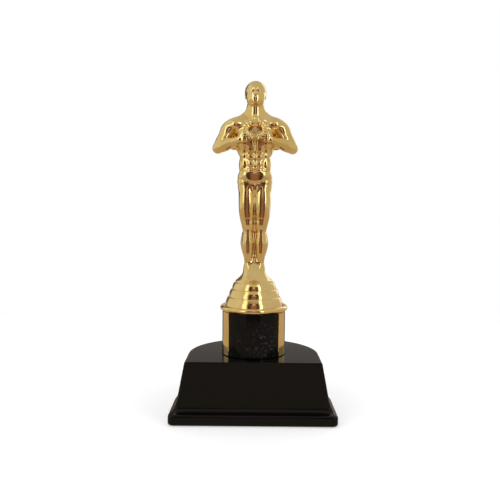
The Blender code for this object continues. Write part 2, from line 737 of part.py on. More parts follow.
def add_head(clay):
    at = Joints(1)
    limb(clay, at.throat, NECK_RADIUS, at.neck, NECK_RADIUS)
    for mass in (SKULL, FACE, CHIN):
        ball(clay, at.skull, mass)


def add_features(clay, side):
    """The small forms of one side, which stay crisper than the body: belly, fist, brow and ear."""
    at = Joints(side)
    for rise in ABDOMINAL_HEIGHTS:
        ball(clay, at.waist + Vector((0, 0, rise * MM)), ABDOMINAL, side)
    ball(clay, at.wrist, FIST, side)
    ball(clay, at.skull, BROW, side)
    ball(clay, at.skull, EAR, side)


def add_wreath(clay, side):
    """One branch of the laurel: a stem from the bottom of the wreath to its opening, with leaves."""
    middle = Joints(1).ribs + Vector((0, -WREATH_REACH, WREATH_RISE))
    sweep = math.pi - WREATH_OPENING / 2
    leaf = Mass((0, 0, 0), (LEAF_WIDTH / 2 / MM, LEAF_THICKNESS / 2 / MM, LEAF_LENGTH / 2 / MM))
    stem = None
    for step in range(LEAVES_A_SIDE + 1):
        angle = sweep * step / LEAVES_A_SIDE
        out = Vector((side * math.sin(angle), 0, -math.cos(angle)))
        point = middle + out * WREATH_RADIUS
        if stem:
            limb(clay, stem, STEM_RADIUS, point, STEM_RADIUS)
            for splay in (-LEAF_SPLAY, LEAF_SPLAY):
                lean = math.pi / 2 - angle + splay
                tip = Vector((side * math.sin(lean), 0, math.cos(lean)))
                ball(clay, stem + tip * LEAF_LENGTH / 2, leaf, side, lean)
        stem = point


def cast(name, clay, grain, smoothing, detail=1.0):
    """Melts the shapes of the clay into one skin, smooths it and thins its facets out."""
    helper = new_object(name, mesh_of(clay, name), CUTTERS)
    skin = helper.modifiers.new("Skin", "REMESH")
    skin.mode = "VOXEL"
    skin.voxel_size = grain
    smooth = helper.modifiers.new("Smooth", "SMOOTH")
    smooth.iterations = smoothing
    thin = helper.modifiers.new("Thin", "DECIMATE")
    thin.ratio = detail
    return evaluated_mesh(helper)


def figure_body():
    """Trunk, limbs and head, melted into soft flowing forms."""
    clay = bmesh.new()
    at = Joints(1)
    limb(clay, at.heel * Vector((0, 1, 1)), WEB_RADIUS, at.crotch, WEB_RADIUS)
    ball(clay, at.crotch, PELVIS)
    ball(clay, at.crotch, GROIN)
    ball(clay, at.waist, WAIST)
    ball(clay, at.ribs, RIBS)
    ball(clay, at.ribs, COLLAR)
    add_mound(clay)
    add_head(clay)
    for side in (-1, 1):
        add_leg(clay, side)
        add_torso(clay, side)
        add_arm(clay, side)
    return cast("figure_body", clay, BODY_GRAIN, BODY_SMOOTHING)


def figure_form():
    """The whole figure: its body, its small forms and the wreath."""
    clay = bmesh.new()
    clay.from_mesh(figure_body())
    skull = Joints(1).skull
    ball(clay, skull, NOSE)
    ball(clay, skull, HAIR)
    for side in (-1, 1):
        add_features(clay, side)
        add_wreath(clay, side)
    return cast("figure_form", clay, FIGURE_GRAIN, FIGURE_SMOOTHING, FIGURE_DETAIL)


def figure_core():
    """The hollow of the figure: trunk and thighs, a wall's thickness inside the skin."""
    clay = bmesh.new()
    for joint, mass in (("crotch", PELVIS), ("waist", WAIST), ("ribs", RIBS)):
        ball(clay, getattr(Joints(1), joint), mass, shrink=FIGURE_WALL)
    for side in (-1, 1):
        at = Joints(side)
        limb(clay, at.knee, KNEE_RADIUS - FIGURE_WALL, at.hip, HIP_RADIUS - FIGURE_WALL)
    return cast("figure_core", clay, CORE_GRAIN, FIGURE_SMOOTHING, CORE_DETAIL)


def build_figure(finish, axis):
    sole = new_seat("figure_sole", SOLE_Z, axis)
    form = figure_form()
    core = new_cutter("figure_core", figure_core(), sole)
    reach = ELBOW_SPACING
    height = Joints(1).skull.z + reach
    sides = {"figure_front": (-reach, -SEAT_GAP / 2), "figure_back": (SEAT_GAP / 2, reach)}
    for name, (low_y, high_y) in sides.items():
        half = new_part(name, form.copy(), finish, sole)
        room = block(name + "_room", (-reach, low_y, 0), (reach, high_y, height))
        combine(half, "INTERSECT", new_cutter(name + "_room", room, sole))
        combine(half, "DIFFERENCE", core)


clear_scene()
PARTS = new_collection("figure_trophy")
CUTTERS = new_collection("cutters")


def main():
    black = new_material("gloss_black", (0.008, 0.008, 0.008), 0.08)
    marble = new_material("black_marble", (0.012, 0.011, 0.012), 0.12)
    gold = new_material("gilt", (0.83, 0.56, 0.16), 0.14, metallic=1)
    steel = new_material("steel", (0.55, 0.55, 0.54), 0.35, metallic=1)
    column_axis = new_axis("column_axis", COLUMN_BASE_Z)
    figure_axis = new_axis("figure_axis", PLINTH_Z)
    build_base(black)
    build_column(marble, gold, column_axis)
    build_cap(gold, column_axis)
    build_plinth(gold, figure_axis)
    build_fasteners(steel, figure_axis)
    build_figure(gold, figure_axis)


main()
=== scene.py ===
"""Looks of the figure trophy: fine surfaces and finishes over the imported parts, on a white stage.

Lengths are in millimetres, in the frame's own axes: +Z up, the front to -Y.
"""

import math

import bmesh
import bpy
import numpy as np
from mathutils import Euler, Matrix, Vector


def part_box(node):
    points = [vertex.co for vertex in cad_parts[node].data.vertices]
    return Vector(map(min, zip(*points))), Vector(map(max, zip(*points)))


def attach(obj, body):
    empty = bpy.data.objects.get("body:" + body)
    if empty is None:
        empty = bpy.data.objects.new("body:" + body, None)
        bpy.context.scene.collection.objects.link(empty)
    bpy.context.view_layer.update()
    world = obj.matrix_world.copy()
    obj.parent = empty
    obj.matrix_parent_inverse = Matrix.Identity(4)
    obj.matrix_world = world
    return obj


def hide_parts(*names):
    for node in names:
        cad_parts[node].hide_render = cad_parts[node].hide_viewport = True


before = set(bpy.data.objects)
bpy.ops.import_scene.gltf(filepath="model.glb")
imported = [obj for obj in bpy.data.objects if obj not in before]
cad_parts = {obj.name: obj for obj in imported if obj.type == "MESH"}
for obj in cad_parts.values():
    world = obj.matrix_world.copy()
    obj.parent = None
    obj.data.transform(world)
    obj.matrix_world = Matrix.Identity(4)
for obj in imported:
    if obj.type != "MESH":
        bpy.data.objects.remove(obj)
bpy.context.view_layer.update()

MM = 0.001


def span(node):
    """Lowest and highest corner of a CAD node."""
    low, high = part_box(node)
    return low / MM, high / MM


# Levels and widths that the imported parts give
CAP_LOW, CAP_HIGH = span("column_cap")
PLINTH_LOW, PLINTH_HIGH = span("figure_plinth")
TUBE_LOW, TUBE_HIGH = span("column_tube")
FOOT_LOW = span("base_shell")[0]
FIGURE_LOW, FIGURE_HIGH = span("figure_front")
WASHER_LOW, WASHER_HIGH = span("clamp_washer")
ROD_LOW, ROD_HIGH = span("tie_rod")
NUTS = {name: span(name) for name in ("figure_nut", "clamp_nut")}
AXIS_Y = (CAP_LOW.y + CAP_HIGH.y) / 2
SOLE = FIGURE_LOW.z

# Base
TOP_Z = 36
TOP_HALF = 41
TOP_STRAIGHT = 25
TOP_EDGE = 0.8
TOP_THICKNESS = 3
WALL = 2.4
SIDE_LEAN = 5.6
FOOT_FLARE = 9
FOOT_STEP = 6
FOOT_HEIGHT = 6.5
FOOT_EDGE = 1.6
SWEEP_HEIGHT = 8
FRONT_SWEEP_HEIGHT = 2.7
FRONT_SWEEP = 3
FRONT_SWEEP_LEVELS = np.linspace(0.1, 1, 8) * FRONT_SWEEP_HEIGHT
SWEEP_LEVELS = np.linspace(0.45, 1, 6) * SWEEP_HEIGHT
TOP_CORNER = 0.8
FOOT_CORNER = 3
RIB_THICKNESS = 1.6
RIB_DEPTH = 5
RIB_EDGE = 0.4
BOSS_RADIUS = 8
BOSS_DEPTH = 6
RING_HEIGHT = 3
RING_WALL = 2
RING_EDGE = 0.3
FRONT_Y = FOOT_LOW.y + FOOT_STEP
ROUND_Y = FRONT_Y + TOP_STRAIGHT

# Column, cap and plinth
TUBE_RADIUS = 20
TUBE_BORE = 17.8
TUBE_EDGE = 0.2
STRIP_ANGLES = {"strip_left": -60, "strip_right": 60, "strip_rear": 180}
STRIP_WIDTH = 7.2
STRIP_THICKNESS = 0.8
STRIP_PROUD = 0.25
STRIP_EDGE = 0.2
GROOVE_GAP = 0.3
SPIGOT_RADIUS = 17.5
SPIGOT_LENGTH = 5
SPIGOT_WALL = 2
SPIGOT_EDGE = 0.6
SPIGOT_BORE_EDGE = 0.2
CAP_DISH = 1
CAP_FLOOR = 2.2
CAP_FILLET = 0.3
CAP_ROLL = 0.98
DISH_RADIUS = 18.8
DISH_EDGE = 0.35
PLINTH_TOP_RADIUS = 12.8
PLINTH_RINGS = (5.9, 4.8, 4.2)
PLINTH_STEP = 0.6
PLINTH_BULGE = 0.35
PLINTH_BOW = 8
PLINTH_CREASE = 0.08
PLINTH_FOOT_EDGE = 0.25
PLINTH_ROUNDING = 0.7
PLINTH_RIM_DEPTH = 0.8
PLINTH_RIM_WIDTH = 0.6
PLINTH_RIM_EDGE = 0.2
PLINTH_WALL = 2
PLINTH_WALL_EDGE = 0.2
PLINTH_THROAT_FILLET = 0.5
PLINTH_BOSS = 8.4
PLINTH_BOSS_EDGE = 0.4
PLINTH_BOSS_FILLET = 0.3
POCKET_FLOOR = 4
ROD_HOLE = 3.4

# Fasteners
THREAD_PITCH = 1
THREAD_DEPTH = 0.55
THREAD_FLANK = 1.5
THREAD_CREST = 0.25
THREAD_STEPS = 6
ROD_CHAMFER = 0.5
NUT_CHAMFER_SLOPE = 0.55
NUT_FACE = 0.98
NUT_LEVELS = 21
NUT_BORE = 3.3
NUT_BORE_FLARE = 0.35
NUT_BORE_FLARE_DEPTH = 0.5
WASHER_EDGE = 0.15
WASHER_LOWER_EDGE = 0.25

# Facets
TURN_STEPS = 128
FASTENER_STEPS = 48
BACK_STEPS = 72
CORNER_STEPS = 6
STRAIGHT_STEPS = 16
STRIP_STEPS = 18
SHARP = math.radians(40)

# Linear colours, refraction, and the places of the chest's grain and the marble's thickest flecks
GOLD = (0.78, 0.57, 0.22, 1)
GOLD_PALE = (0.85, 0.66, 0.31, 1)
# The darker gold below is painted shade, laid into the figure's hollows and creases
GOLD_PAINTED_SHADE = (0.52, 0.33, 0.10, 1)
BLACK = (0.0035, 0.003, 0.0026, 1)
BLACK_IOR = 1.28
DUST = (0.05, 0.045, 0.04, 1)
FOIL = (0.003, 0.003, 0.003, 1)
FOIL_FLECK = (0.12, 0.11, 0.135, 1)
FOIL_IOR = 1.25
STEEL = (0.63, 0.63, 0.62, 1)
STEEL_DULL = (0.46, 0.46, 0.44, 1)
CHEST = (0, AXIS_Y - 8, SOLE + 96)
FLECKED = (7, AXIS_Y - TUBE_RADIUS, TUBE_LOW.z + 9)


# Finishes


class Graph:
    """The nodes of one finish, which lie in the piece's own coordinates."""

    def __init__(self, name):
        self.finish = bpy.data.materials.new(name)
        self.finish.use_nodes = True
        self.nodes = self.finish.node_tree.nodes
        self.links = self.finish.node_tree.links
        self.shader = self.nodes["Principled BSDF"]
        self.place = self.nodes.new("ShaderNodeTexCoord").outputs["Object"]

    def feed(self, socket, value):
        if isinstance(value, bpy.types.NodeSocket):
            self.links.new(value, socket)
        else:
            socket.default_value = value

    def node(self, kind, inputs, **settings):
        made = self.nodes.new(kind)
        for name, value in settings.items():
            setattr(made, name, value)
        for key, value in inputs.items():
            self.feed(made.inputs[key], value)
        return made

    def set(self, **sockets):
        """Values or links for the shader's sockets. An underscore stands for a space."""
        for name, value in sockets.items():
            self.feed(self.shader.inputs[name.replace("_", " ")], value)

    def noise(self, size, detail=3.0, distortion=0.0):
        inputs = {"Vector": self.place, "Scale": 1 / (size * MM)}
        inputs |= {"Detail": detail, "Distortion": distortion}
        return self.node("ShaderNodeTexNoise", inputs).outputs["Fac"]

    def cells(self, size):
        inputs = {"Vector": self.place, "Scale": 1 / (size * MM)}
        return self.node("ShaderNodeTexVoronoi", inputs).outputs["Distance"]

    def spread(self, value, start, end, low=0.0, high=1.0):
        """A value's stretch from start to end, mapped to low and high."""
        inputs = {0: value, 1: start, 2: end, 3: low, 4: high}
        return self.node("ShaderNodeMapRange", inputs).outputs[0]

    def times(self, first, second):
        return self.node("ShaderNodeMath", {0: first, 1: second}, operation="MULTIPLY").outputs[0]

    def blend(self, share, first, second):
        return self.node("ShaderNodeMix", {0: share, 6: first, 7: second}, data_type="RGBA").outputs[2]

    def bump(self, height, depth, below=None):
        inputs = {"Height": height, "Distance": depth * MM}
        if below:
            inputs["Normal"] = below
        return self.node("ShaderNodeBump", inputs).outputs["Normal"]

    def near(self, point, reach):
        """1 at a point, falling to 0 at a distance from it."""
        place = tuple(coordinate * MM for coordinate in point)
        away = self.node("ShaderNodeVectorMath", {0: self.place, 1: place}, operation="DISTANCE")
        return self.spread(away.outputs["Value"], 0, reach * MM, 1, 0)


def gilt():
    """Metallised gold: a slightly uneven mirror, with painted shade darkening its hollows, and grainy on the
    chest.
    """
    g = Graph("gilt")
    tone = g.blend(g.spread(g.noise(11), 0.35, 0.65), GOLD, GOLD_PALE)
    hollow = g.node("ShaderNodeNewGeometry", {}).outputs["Pointiness"]
    # Painted shade: the base colour turns to the darker gold where the surface is hollow
    g.set(Base_Color=g.blend(g.spread(hollow, 0.42, 0.485), GOLD_PAINTED_SHADE, tone), Metallic=1.0)
    g.set(Roughness=g.spread(g.noise(1.5, 5), 0.3, 0.7, 0.09, 0.17))
    grain = g.times(g.noise(0.7, 2), g.spread(g.near(CHEST, 8), 0.1, 0.4))
    g.set(Normal=g.bump(grain, 0.10, g.bump(g.noise(0.5), 0.002, g.bump(g.noise(5), 0.05))))
    return g.finish


def gloss_black():
    """Moulded gloss black: a faint ripple, hairline haze and a little dust."""
    g = Graph("gloss_black")
    dust = g.times(g.spread(g.cells(1.7), 0.035, 0.06, 1, 0), g.spread(g.noise(9), 0.45, 0.7))
    g.set(Base_Color=g.blend(dust, BLACK, DUST), IOR=BLACK_IOR)
    g.set(Roughness=g.spread(g.noise(3, 6), 0.3, 0.7, 0.05, 0.12))
    g.set(Normal=g.bump(g.noise(14), 0.04, g.bump(g.noise(0.6), 0.001)))
    return g.finish


def black_marble():
    """Black foil with flecked wisps of grey, thickest low on the right of the front."""
    g = Graph("black_marble")
    vein = g.noise(6, 10, 2.0)
    wisp = g.times(g.spread(vein, 0.45, 0.5), g.spread(vein, 0.5, 0.55, 1, 0))
    fleck = g.times(wisp, g.spread(g.noise(1.8, 5), 0.46, 0.66))
    cloud = g.times(g.spread(g.noise(12, 4, 0.6), 0.48, 0.7), 0.4)
    front = g.near(FLECKED, 15)
    patch = g.node("ShaderNodeMath", {0: cloud, 1: front}, operation="MAXIMUM").outputs[0]
    g.set(Base_Color=g.blend(g.times(fleck, patch), FOIL, FOIL_FLECK), IOR=FOIL_IOR)
    g.set(Roughness=g.spread(g.noise(2, 5), 0.3, 0.7, 0.08, 0.15))
    g.set(Normal=g.bump(g.noise(4), 0.012))
    return g.finish


def steel():
    """Zinc-plated steel, dulled in patches."""
    g = Graph("steel")
    patch = g.spread(g.noise(3, 6), 0.35, 0.65)
    g.set(Base_Color=g.blend(patch, STEEL_DULL, STEEL), Metallic=1.0)
    g.set(Roughness=g.spread(g.noise(0.8, 4), 0.3, 0.7, 0.26, 0.46))
    g.set(Normal=g.bump(g.noise(0.25), 0.01))
    return g.finish


FINISHES = {"gilt": gilt(), "gloss_black": gloss_black(), "black_marble": black_marble(), "steel": steel()}


# Shapes


def new_object(name, points, faces):
    """A mesh from points in millimetres, smooth but for its sharp edges."""
    mesh = bpy.data.meshes.new(name)
    mesh.from_pydata(np.asarray(points, float) * MM, [], faces)
    mesh.shade_smooth()
    mesh.set_sharp_from_angle(angle=SHARP)
    made = bpy.data.objects.new(name, mesh)
    bpy.context.scene.collection.objects.link(made)
    return made


def dress(piece, finish, body, *nodes):
    """Gives a piece its finish and its body, and lets it stand for CAD nodes.

    The weighted normals keep its flat faces flat in the light beside their rounded edges.
    """
    piece.data.materials.append(FINISHES[finish])
    piece.modifiers.new("flats", "WEIGHTED_NORMAL").keep_sharp = True
    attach(piece, body)
    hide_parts(*nodes)
    return piece


def arc(radius, start, end, steps):
    """Points on a round stretch about the origin, with both ends. Angles are in degrees."""
    angles = np.radians(np.linspace(start, end, steps + 1))
    return np.stack([radius * np.cos(angles), radius * np.sin(angles)], axis=1)


def rounded(outline):
    """A closed outline of (u, v, corner radius), with each corner drawn as an arc."""
    points = []
    corners = [(np.array(corner[:2], float), corner[2]) for corner in outline]
    for index, (corner, radius) in enumerate(corners):
        back = corners[index - 1][0] - corner
        ahead = corners[(index + 1) % len(corners)][0] - corner
        back /= np.hypot(*back)
        ahead /= np.hypot(*ahead)
        half = math.acos(np.clip(back @ ahead, -1, 1)) / 2
        if radius == 0:
            points.append(corner)
            continue
        start = corner + back * radius / math.tan(half)
        end = corner + ahead * radius / math.tan(half)
        centre = corner + (back + ahead) / np.hypot(*(back + ahead)) * radius / math.sin(half)
        for share in np.linspace(0, 1, CORNER_STEPS + 1):
            way = start + (end - start) * share - centre
            points.append(centre + way / np.hypot(*way) * radius)
    return np.array(points)


def skin(rings, closed=True):
    """Points and faces through rings of equally many points. Open ends get a flat cap."""
    rings = np.asarray(rings, float)
    count, around = rings.shape[:2]
    index = np.arange(count * around).reshape(count, around)
    lower = index if closed else index[:-1]
    upper = np.roll(index, -1, axis=0) if closed else index[1:]
    faces = np.stack([lower, np.roll(lower, -1, axis=1), np.roll(upper, -1, axis=1), upper], axis=-1)
    faces = faces.reshape(-1, 4).tolist()
    if not closed:
        faces += [index[0][::-1].tolist(), index[-1].tolist()]
    return rings.reshape(-1, 3), faces


def turned(outline, steps=TURN_STEPS):
    """A ring turned about the column's axis from a closed outline of (radius, z), outer side upwards."""
    turn = arc(1, 0, 360, steps)[:-1]
    rings = [[(r * x, AXIS_Y + r * y, z) for x, y in turn] for r, z in outline]
    return skin(rings)


# Base


def straight(start, end):
    """Points between two ends, without them."""
    return np.linspace(start, end, STRAIGHT_STEPS + 2)[1:-1]


def base_plan(z, side, front):
    """The base's plan at one height. side and front say how far it stands out past the top's plan."""
    half = TOP_HALF + side
    front_y = FRONT_Y - front
    corner = TOP_CORNER + (FOOT_CORNER - TOP_CORNER) * max(side, 0) / FOOT_FLARE
    place = np.array((half - corner, front_y + corner))
    right = place + arc(corner, -90, 0, CORNER_STEPS)
    back = (0, ROUND_Y) + arc(half, 0, 180, BACK_STEPS)
    left = place * (-1, 1) + arc(corner, 180, 270, CORNER_STEPS)
    sides = straight(right[-1], back[0]), straight(back[-1], left[0])
    plan = np.concatenate([right, sides[0], back, sides[1], left, straight(left[-1], right[0])])
    return [(x, y, z) for x, y in plan]


def round_plan(z, radius):
    """A circle about the column's axis, each point on the way to its own in the base's plan."""
    ways = np.array(base_plan(z, 0, 0))[:, :2] - (0, AXIS_Y)
    ways /= np.hypot(*ways.T)[:, None]
    return [(radius * x, AXIS_Y + radius * y, z) for x, y in ways]


def side_lean(z):
    """How far the leaning sides stand out past the top's plan at a height."""
    return SIDE_LEAN * (TOP_Z - z) / (TOP_Z - FOOT_HEIGHT)


def sweep(z, height):
    """How far the foot's sweep has gone at a height: 1 on the foot, 0 at its top."""
    return max(0, 1 - (z - FOOT_HEIGHT) / height) ** 2


def build_base():
    """The hollow moulding, with its foot, the ring that centres the column, the rod's hole and the boss."""
    roof = TOP_Z - TOP_THICKNESS
    rings = [base_plan(z, side_lean(z) - WALL, -WALL) for z in (roof, 0)]
    for x, y in arc(FOOT_EDGE, -90, 0, CORNER_STEPS):
        rings.append(base_plan(FOOT_EDGE + y, FOOT_FLARE - FOOT_EDGE + x, FOOT_STEP - FOOT_EDGE + x))
    for x, y in arc(FOOT_EDGE, 0, 90, CORNER_STEPS):
        z = FOOT_HEIGHT - FOOT_EDGE + y
        rings.append(base_plan(z, FOOT_FLARE - FOOT_EDGE + x, FOOT_STEP - FOOT_EDGE + x))
    reach = FOOT_FLARE - FOOT_EDGE - SIDE_LEAN
    for z in FOOT_HEIGHT + np.concatenate([FRONT_SWEEP_LEVELS, SWEEP_LEVELS]):
        side = side_lean(z) + reach * sweep(z, SWEEP_HEIGHT)
        rings.append(base_plan(z, side, FRONT_SWEEP * sweep(z, FRONT_SWEEP_HEIGHT)))
    for x, y in arc(TOP_EDGE, 0, 90, CORNER_STEPS):
        z = TOP_Z - TOP_EDGE + y
        rings.append(base_plan(z, side_lean(z) - TOP_EDGE + x, x - TOP_EDGE))
    crest = TOP_Z + RING_HEIGHT
    bore = SPIGOT_RADIUS - RING_WALL
    boss = roof - BOSS_DEPTH
    middle = [(TOP_Z, SPIGOT_RADIUS), (crest - RING_EDGE, SPIGOT_RADIUS), (crest, SPIGOT_RADIUS - RING_EDGE)]
    middle += [(crest, bore), (TOP_Z, bore), (TOP_Z, ROD_HOLE), (boss, ROD_HOLE)]
    middle += [(boss, BOSS_RADIUS - RING_EDGE), (boss + RING_EDGE, BOSS_RADIUS), (roof, BOSS_RADIUS)]
    rings += [round_plan(z, radius) for z, radius in middle]
    dress(new_object("base_moulding", *skin(rings)), "gloss_black", "base", "base_shell")
    build_ribs(roof)


def build_ribs(roof):
    """Four ribs under the top, from the boss to the walls."""
    low = roof - RIB_DEPTH
    inside = TOP_HALF + side_lean(low) - WALL
    ends = {
        "base_rib_left": ((-inside, AXIS_Y), (-BOSS_RADIUS, AXIS_Y)),
        "base_rib_right": ((BOSS_RADIUS, AXIS_Y), (inside, AXIS_Y)),
        "base_rib_front": ((0, FRONT_Y + WALL), (0, AXIS_Y - BOSS_RADIUS)),
        "base_rib_back": ((0, AXIS_Y + BOSS_RADIUS), (0, ROUND_Y + inside)),
    }
    half = RIB_THICKNESS / 2
    section = rounded([(-half, low, RIB_EDGE), (half, low, RIB_EDGE), (half, roof, 0), (-half, roof, 0)])
    for name, (start, end) in ends.items():
        along = Vector(end) - Vector(start)
        across = Vector((-along.y, along.x)).normalized()
        rings = [[(x + across.x * u, y + across.y * u, v) for u, v in section] for x, y in (start, end)]
        dress(new_object(name, *skin(rings, closed=False)), "gloss_black", "base")


# Column, cap and plinth


def build_column():
    """The tube, with a groove for each strip, and the strips."""
    groove_radius = TUBE_RADIUS + STRIP_PROUD - STRIP_THICKNESS - GROOVE_GAP
    groove = math.degrees((STRIP_WIDTH / 2 + GROOVE_GAP) / TUBE_RADIUS)
    between, steps = 360 / len(STRIP_ANGLES), TURN_STEPS // len(STRIP_ANGLES)
    outline = []
    for middle in sorted(STRIP_ANGLES.values()):
        start = middle - 90
        outline += [*arc(groove_radius, start - groove, start + groove, CORNER_STEPS)]
        outline += [*arc(TUBE_RADIUS, start + groove, start + between - groove, steps)]
    outline = np.array(outline)
    ways = outline / np.hypot(*outline.T)[:, None]
    inset, bore = outline - ways * TUBE_EDGE, ways * TUBE_BORE
    low, high = TUBE_LOW.z, TUBE_HIGH.z
    section = [(inset, low), (outline, low + TUBE_EDGE), (outline, high - TUBE_EDGE)]
    section += [(inset, high), (bore, high), (bore, low)]
    rings = [[(x, AXIS_Y + y, z) for x, y in plan] for plan, z in section]
    dress(new_object("column_foil", *skin(rings)), "black_marble", "column", "column_tube")
    for name, middle in STRIP_ANGLES.items():
        build_strip(name, middle - 90, low, high)


def build_strip(node, middle, low, high):
    """A bowed gilt strip with softened edges."""
    outer = TUBE_RADIUS + STRIP_PROUD
    inner = outer - STRIP_THICKNESS
    half = math.degrees(STRIP_WIDTH / 2 / outer)
    edge = math.degrees(STRIP_EDGE / outer)
    rings = []
    ends = ((low, STRIP_EDGE), (low + STRIP_EDGE, 0), (high - STRIP_EDGE, 0), (high, STRIP_EDGE))
    for z, inset in ends:
        face = arc(outer - inset, middle - half + edge, middle + half - edge, STRIP_STEPS)
        flank = outer - inset - STRIP_EDGE
        right, left = (arc(flank, side, side, 0) for side in (middle + half, middle - half))
        back = arc(inner, middle + half, middle - half, STRIP_STEPS)
        plan = np.concatenate([face, right, back, left])
        rings.append([(x, AXIS_Y + y, z) for x, y in plan])
    dress(new_object(node + "_gilt", *skin(rings, closed=False)), "gilt", "column", node)


def build_cap():
    """The collar, with its rolled rim, dished top and spigot."""
    top = CAP_HIGH.z
    flange = CAP_LOW.z + SPIGOT_LENGTH
    floor = top - CAP_DISH
    rim = CAP_HIGH.x
    roll = CAP_ROLL * (top - flange) / 2
    inner = SPIGOT_RADIUS - SPIGOT_WALL
    outline = [
        (ROD_HOLE, floor - CAP_FLOOR, 0),
        (inner, floor - CAP_FLOOR, CAP_FILLET),
        (inner, CAP_LOW.z, SPIGOT_BORE_EDGE),
        (SPIGOT_RADIUS, CAP_LOW.z, SPIGOT_EDGE),
        (SPIGOT_RADIUS, flange, 0),
        (rim, flange, roll),
        (rim, top, roll),
        (DISH_RADIUS, top, DISH_EDGE),
        (DISH_RADIUS, floor, CAP_FILLET),
        (ROD_HOLE, floor, 0),
    ]
    dress(new_object("cap_gilt", *turned(rounded(outline))), "gilt", "column", "column_cap")


def build_plinth():
    """Three bowed rings over a hollow, with a boss for the rod and a rim round the feet."""
    low, top = PLINTH_LOW.z, PLINTH_HIGH.z
    radius = PLINTH_HIGH.x
    drop = radius - PLINTH_TOP_RADIUS - PLINTH_STEP * (len(PLINTH_RINGS) - 1)
    slope = drop / (top - low)
    floor = top - PLINTH_RIM_DEPTH
    boss = NUTS["figure_nut"][0].z - GROOVE_GAP - POCKET_FLOOR
    roof = floor - PLINTH_WALL
    throat = PLINTH_TOP_RADIUS - PLINTH_WALL
    outline = [(ROD_HOLE, boss, 0), (PLINTH_BOSS, boss, PLINTH_BOSS_EDGE)]
    outline += [(PLINTH_BOSS, roof, PLINTH_BOSS_FILLET), (throat, roof, PLINTH_THROAT_FILLET)]
    outline += [(radius - PLINTH_WALL, low, PLINTH_WALL_EDGE)]
    z = low
    for height in PLINTH_RINGS:
        outline.append((radius, z, PLINTH_FOOT_EDGE if z == low else PLINTH_CREASE))
        outline.append((radius - slope * height / 2 + PLINTH_BULGE, z + height / 2, PLINTH_BOW))
        radius -= slope * height
        z += height
        outline.append((radius, z, PLINTH_ROUNDING))
        radius -= PLINTH_STEP
    rim = radius + PLINTH_STEP - PLINTH_RIM_WIDTH - PLINTH_ROUNDING
    outline += [(rim, top, PLINTH_RIM_EDGE), (rim, floor, PLINTH_RIM_EDGE), (ROD_HOLE, floor, 0)]
    dress(new_object("plinth_gilt", *turned(rounded(outline))), "gilt", "figure", "figure_plinth")


# Fasteners


def build_nut(node):
    """A hex nut, its corners turned off above and below."""
    low, high = NUTS[node][0].z, NUTS[node][1].z
    flat = (NUTS[node][1].x - NUTS[node][0].x) / 2
    turn = arc(1, 0, 360, FASTENER_STEPS)[:-1]
    angles = np.degrees(np.arctan2(turn[:, 1], turn[:, 0]))
    hexagon = flat / np.cos(np.radians((angles + 30) % 60 - 30))
    rings = []
    for depth in np.linspace(0, high - low, NUT_LEVELS):
        face = min(depth, high - low - depth)
        outside = np.minimum(hexagon, flat * NUT_FACE + face / NUT_CHAMFER_SLOPE)
        rings.append([(r * x, AXIS_Y + r * y, low + depth) for r, (x, y) in zip(outside, turn)])
    wide, flare = NUT_BORE + NUT_BORE_FLARE, NUT_BORE_FLARE_DEPTH
    bore = [(high, wide), (high - flare, NUT_BORE), (low + flare, NUT_BORE), (low, wide)]
    for z, radius in bore:
        rings.append([(radius * x, AXIS_Y + radius * y, z) for x, y in turn])
    dress(new_object(node + "_hex", *skin(rings)), "steel", "figure", node)


def build_rod():
    """Studding: a rod with a rolled thread from end to end."""
    low, high = ROD_LOW.z, ROD_HIGH.z
    radius = ROD_HIGH.x
    turn = np.linspace(0, 1, FASTENER_STEPS, endpoint=False)
    angles = 2 * math.pi * turn
    levels = np.linspace(low, high, int((high - low) / THREAD_PITCH * THREAD_STEPS))
    rings = []
    for z in levels:
        phase = (z / THREAD_PITCH - turn) % 1
        depth = THREAD_DEPTH * np.clip(THREAD_FLANK * np.abs(2 * phase - 1) - THREAD_CREST, 0, 1)
        taper = max(0, ROD_CHAMFER - min(z - low, high - z))
        reach = radius - np.maximum(depth, taper)
        x, y = reach * np.cos(angles), AXIS_Y + reach * np.sin(angles)
        rings.append(np.stack([x, y, np.full_like(x, z)], axis=1))
    dress(new_object("studding", *skin(rings, closed=False)), "steel", "figure", "tie_rod")


def build_washer():
    """A plain washer with softened edges."""
    low, high = WASHER_LOW.z, WASHER_HIGH.z
    outer = WASHER_HIGH.x
    outline = [(ROD_HOLE, low, WASHER_EDGE), (outer, low, WASHER_LOWER_EDGE)]
    outline += [(outer, high, WASHER_EDGE), (ROD_HOLE, high, WASHER_EDGE)]
    washer = new_object("washer_plate", *turned(rounded(outline), FASTENER_STEPS))
    dress(washer, "steel", "base", "clamp_washer")


# Figure: clay


class Ball:
    """An ellipsoid. tip turns it, in degrees about x, y and z."""

    def __init__(self, centre, radii, tip=(0, 0, 0)):
        self.centre = np.array(centre, float)
        self.radii = np.array(radii, float)
        self.tip = np.array(tip, float)
        self.axes = np.array(Euler(np.radians(self.tip)).to_matrix())

    def mirrored(self):
        return Ball(self.centre * (-1, 1, 1), self.radii, self.tip * (1, -1, -1))

    def reach(self):
        half = np.sqrt(((self.axes * self.radii) ** 2).sum(axis=1))
        return self.centre - half, self.centre + half

    def distance(self, place):
        away = [axis - middle for axis, middle in zip(place, self.centre)]
        own = [sum(self.axes[row, column] * away[row] for row in range(3)) for column in range(3)]
        scaled = np.sqrt(sum((step / radius) ** 2 for step, radius in zip(own, self.radii)))
        steep = np.sqrt(sum((step / radius**2) ** 2 for step, radius in zip(own, self.radii)))
        return scaled * (scaled - 1) / np.maximum(steep, 1e-6)


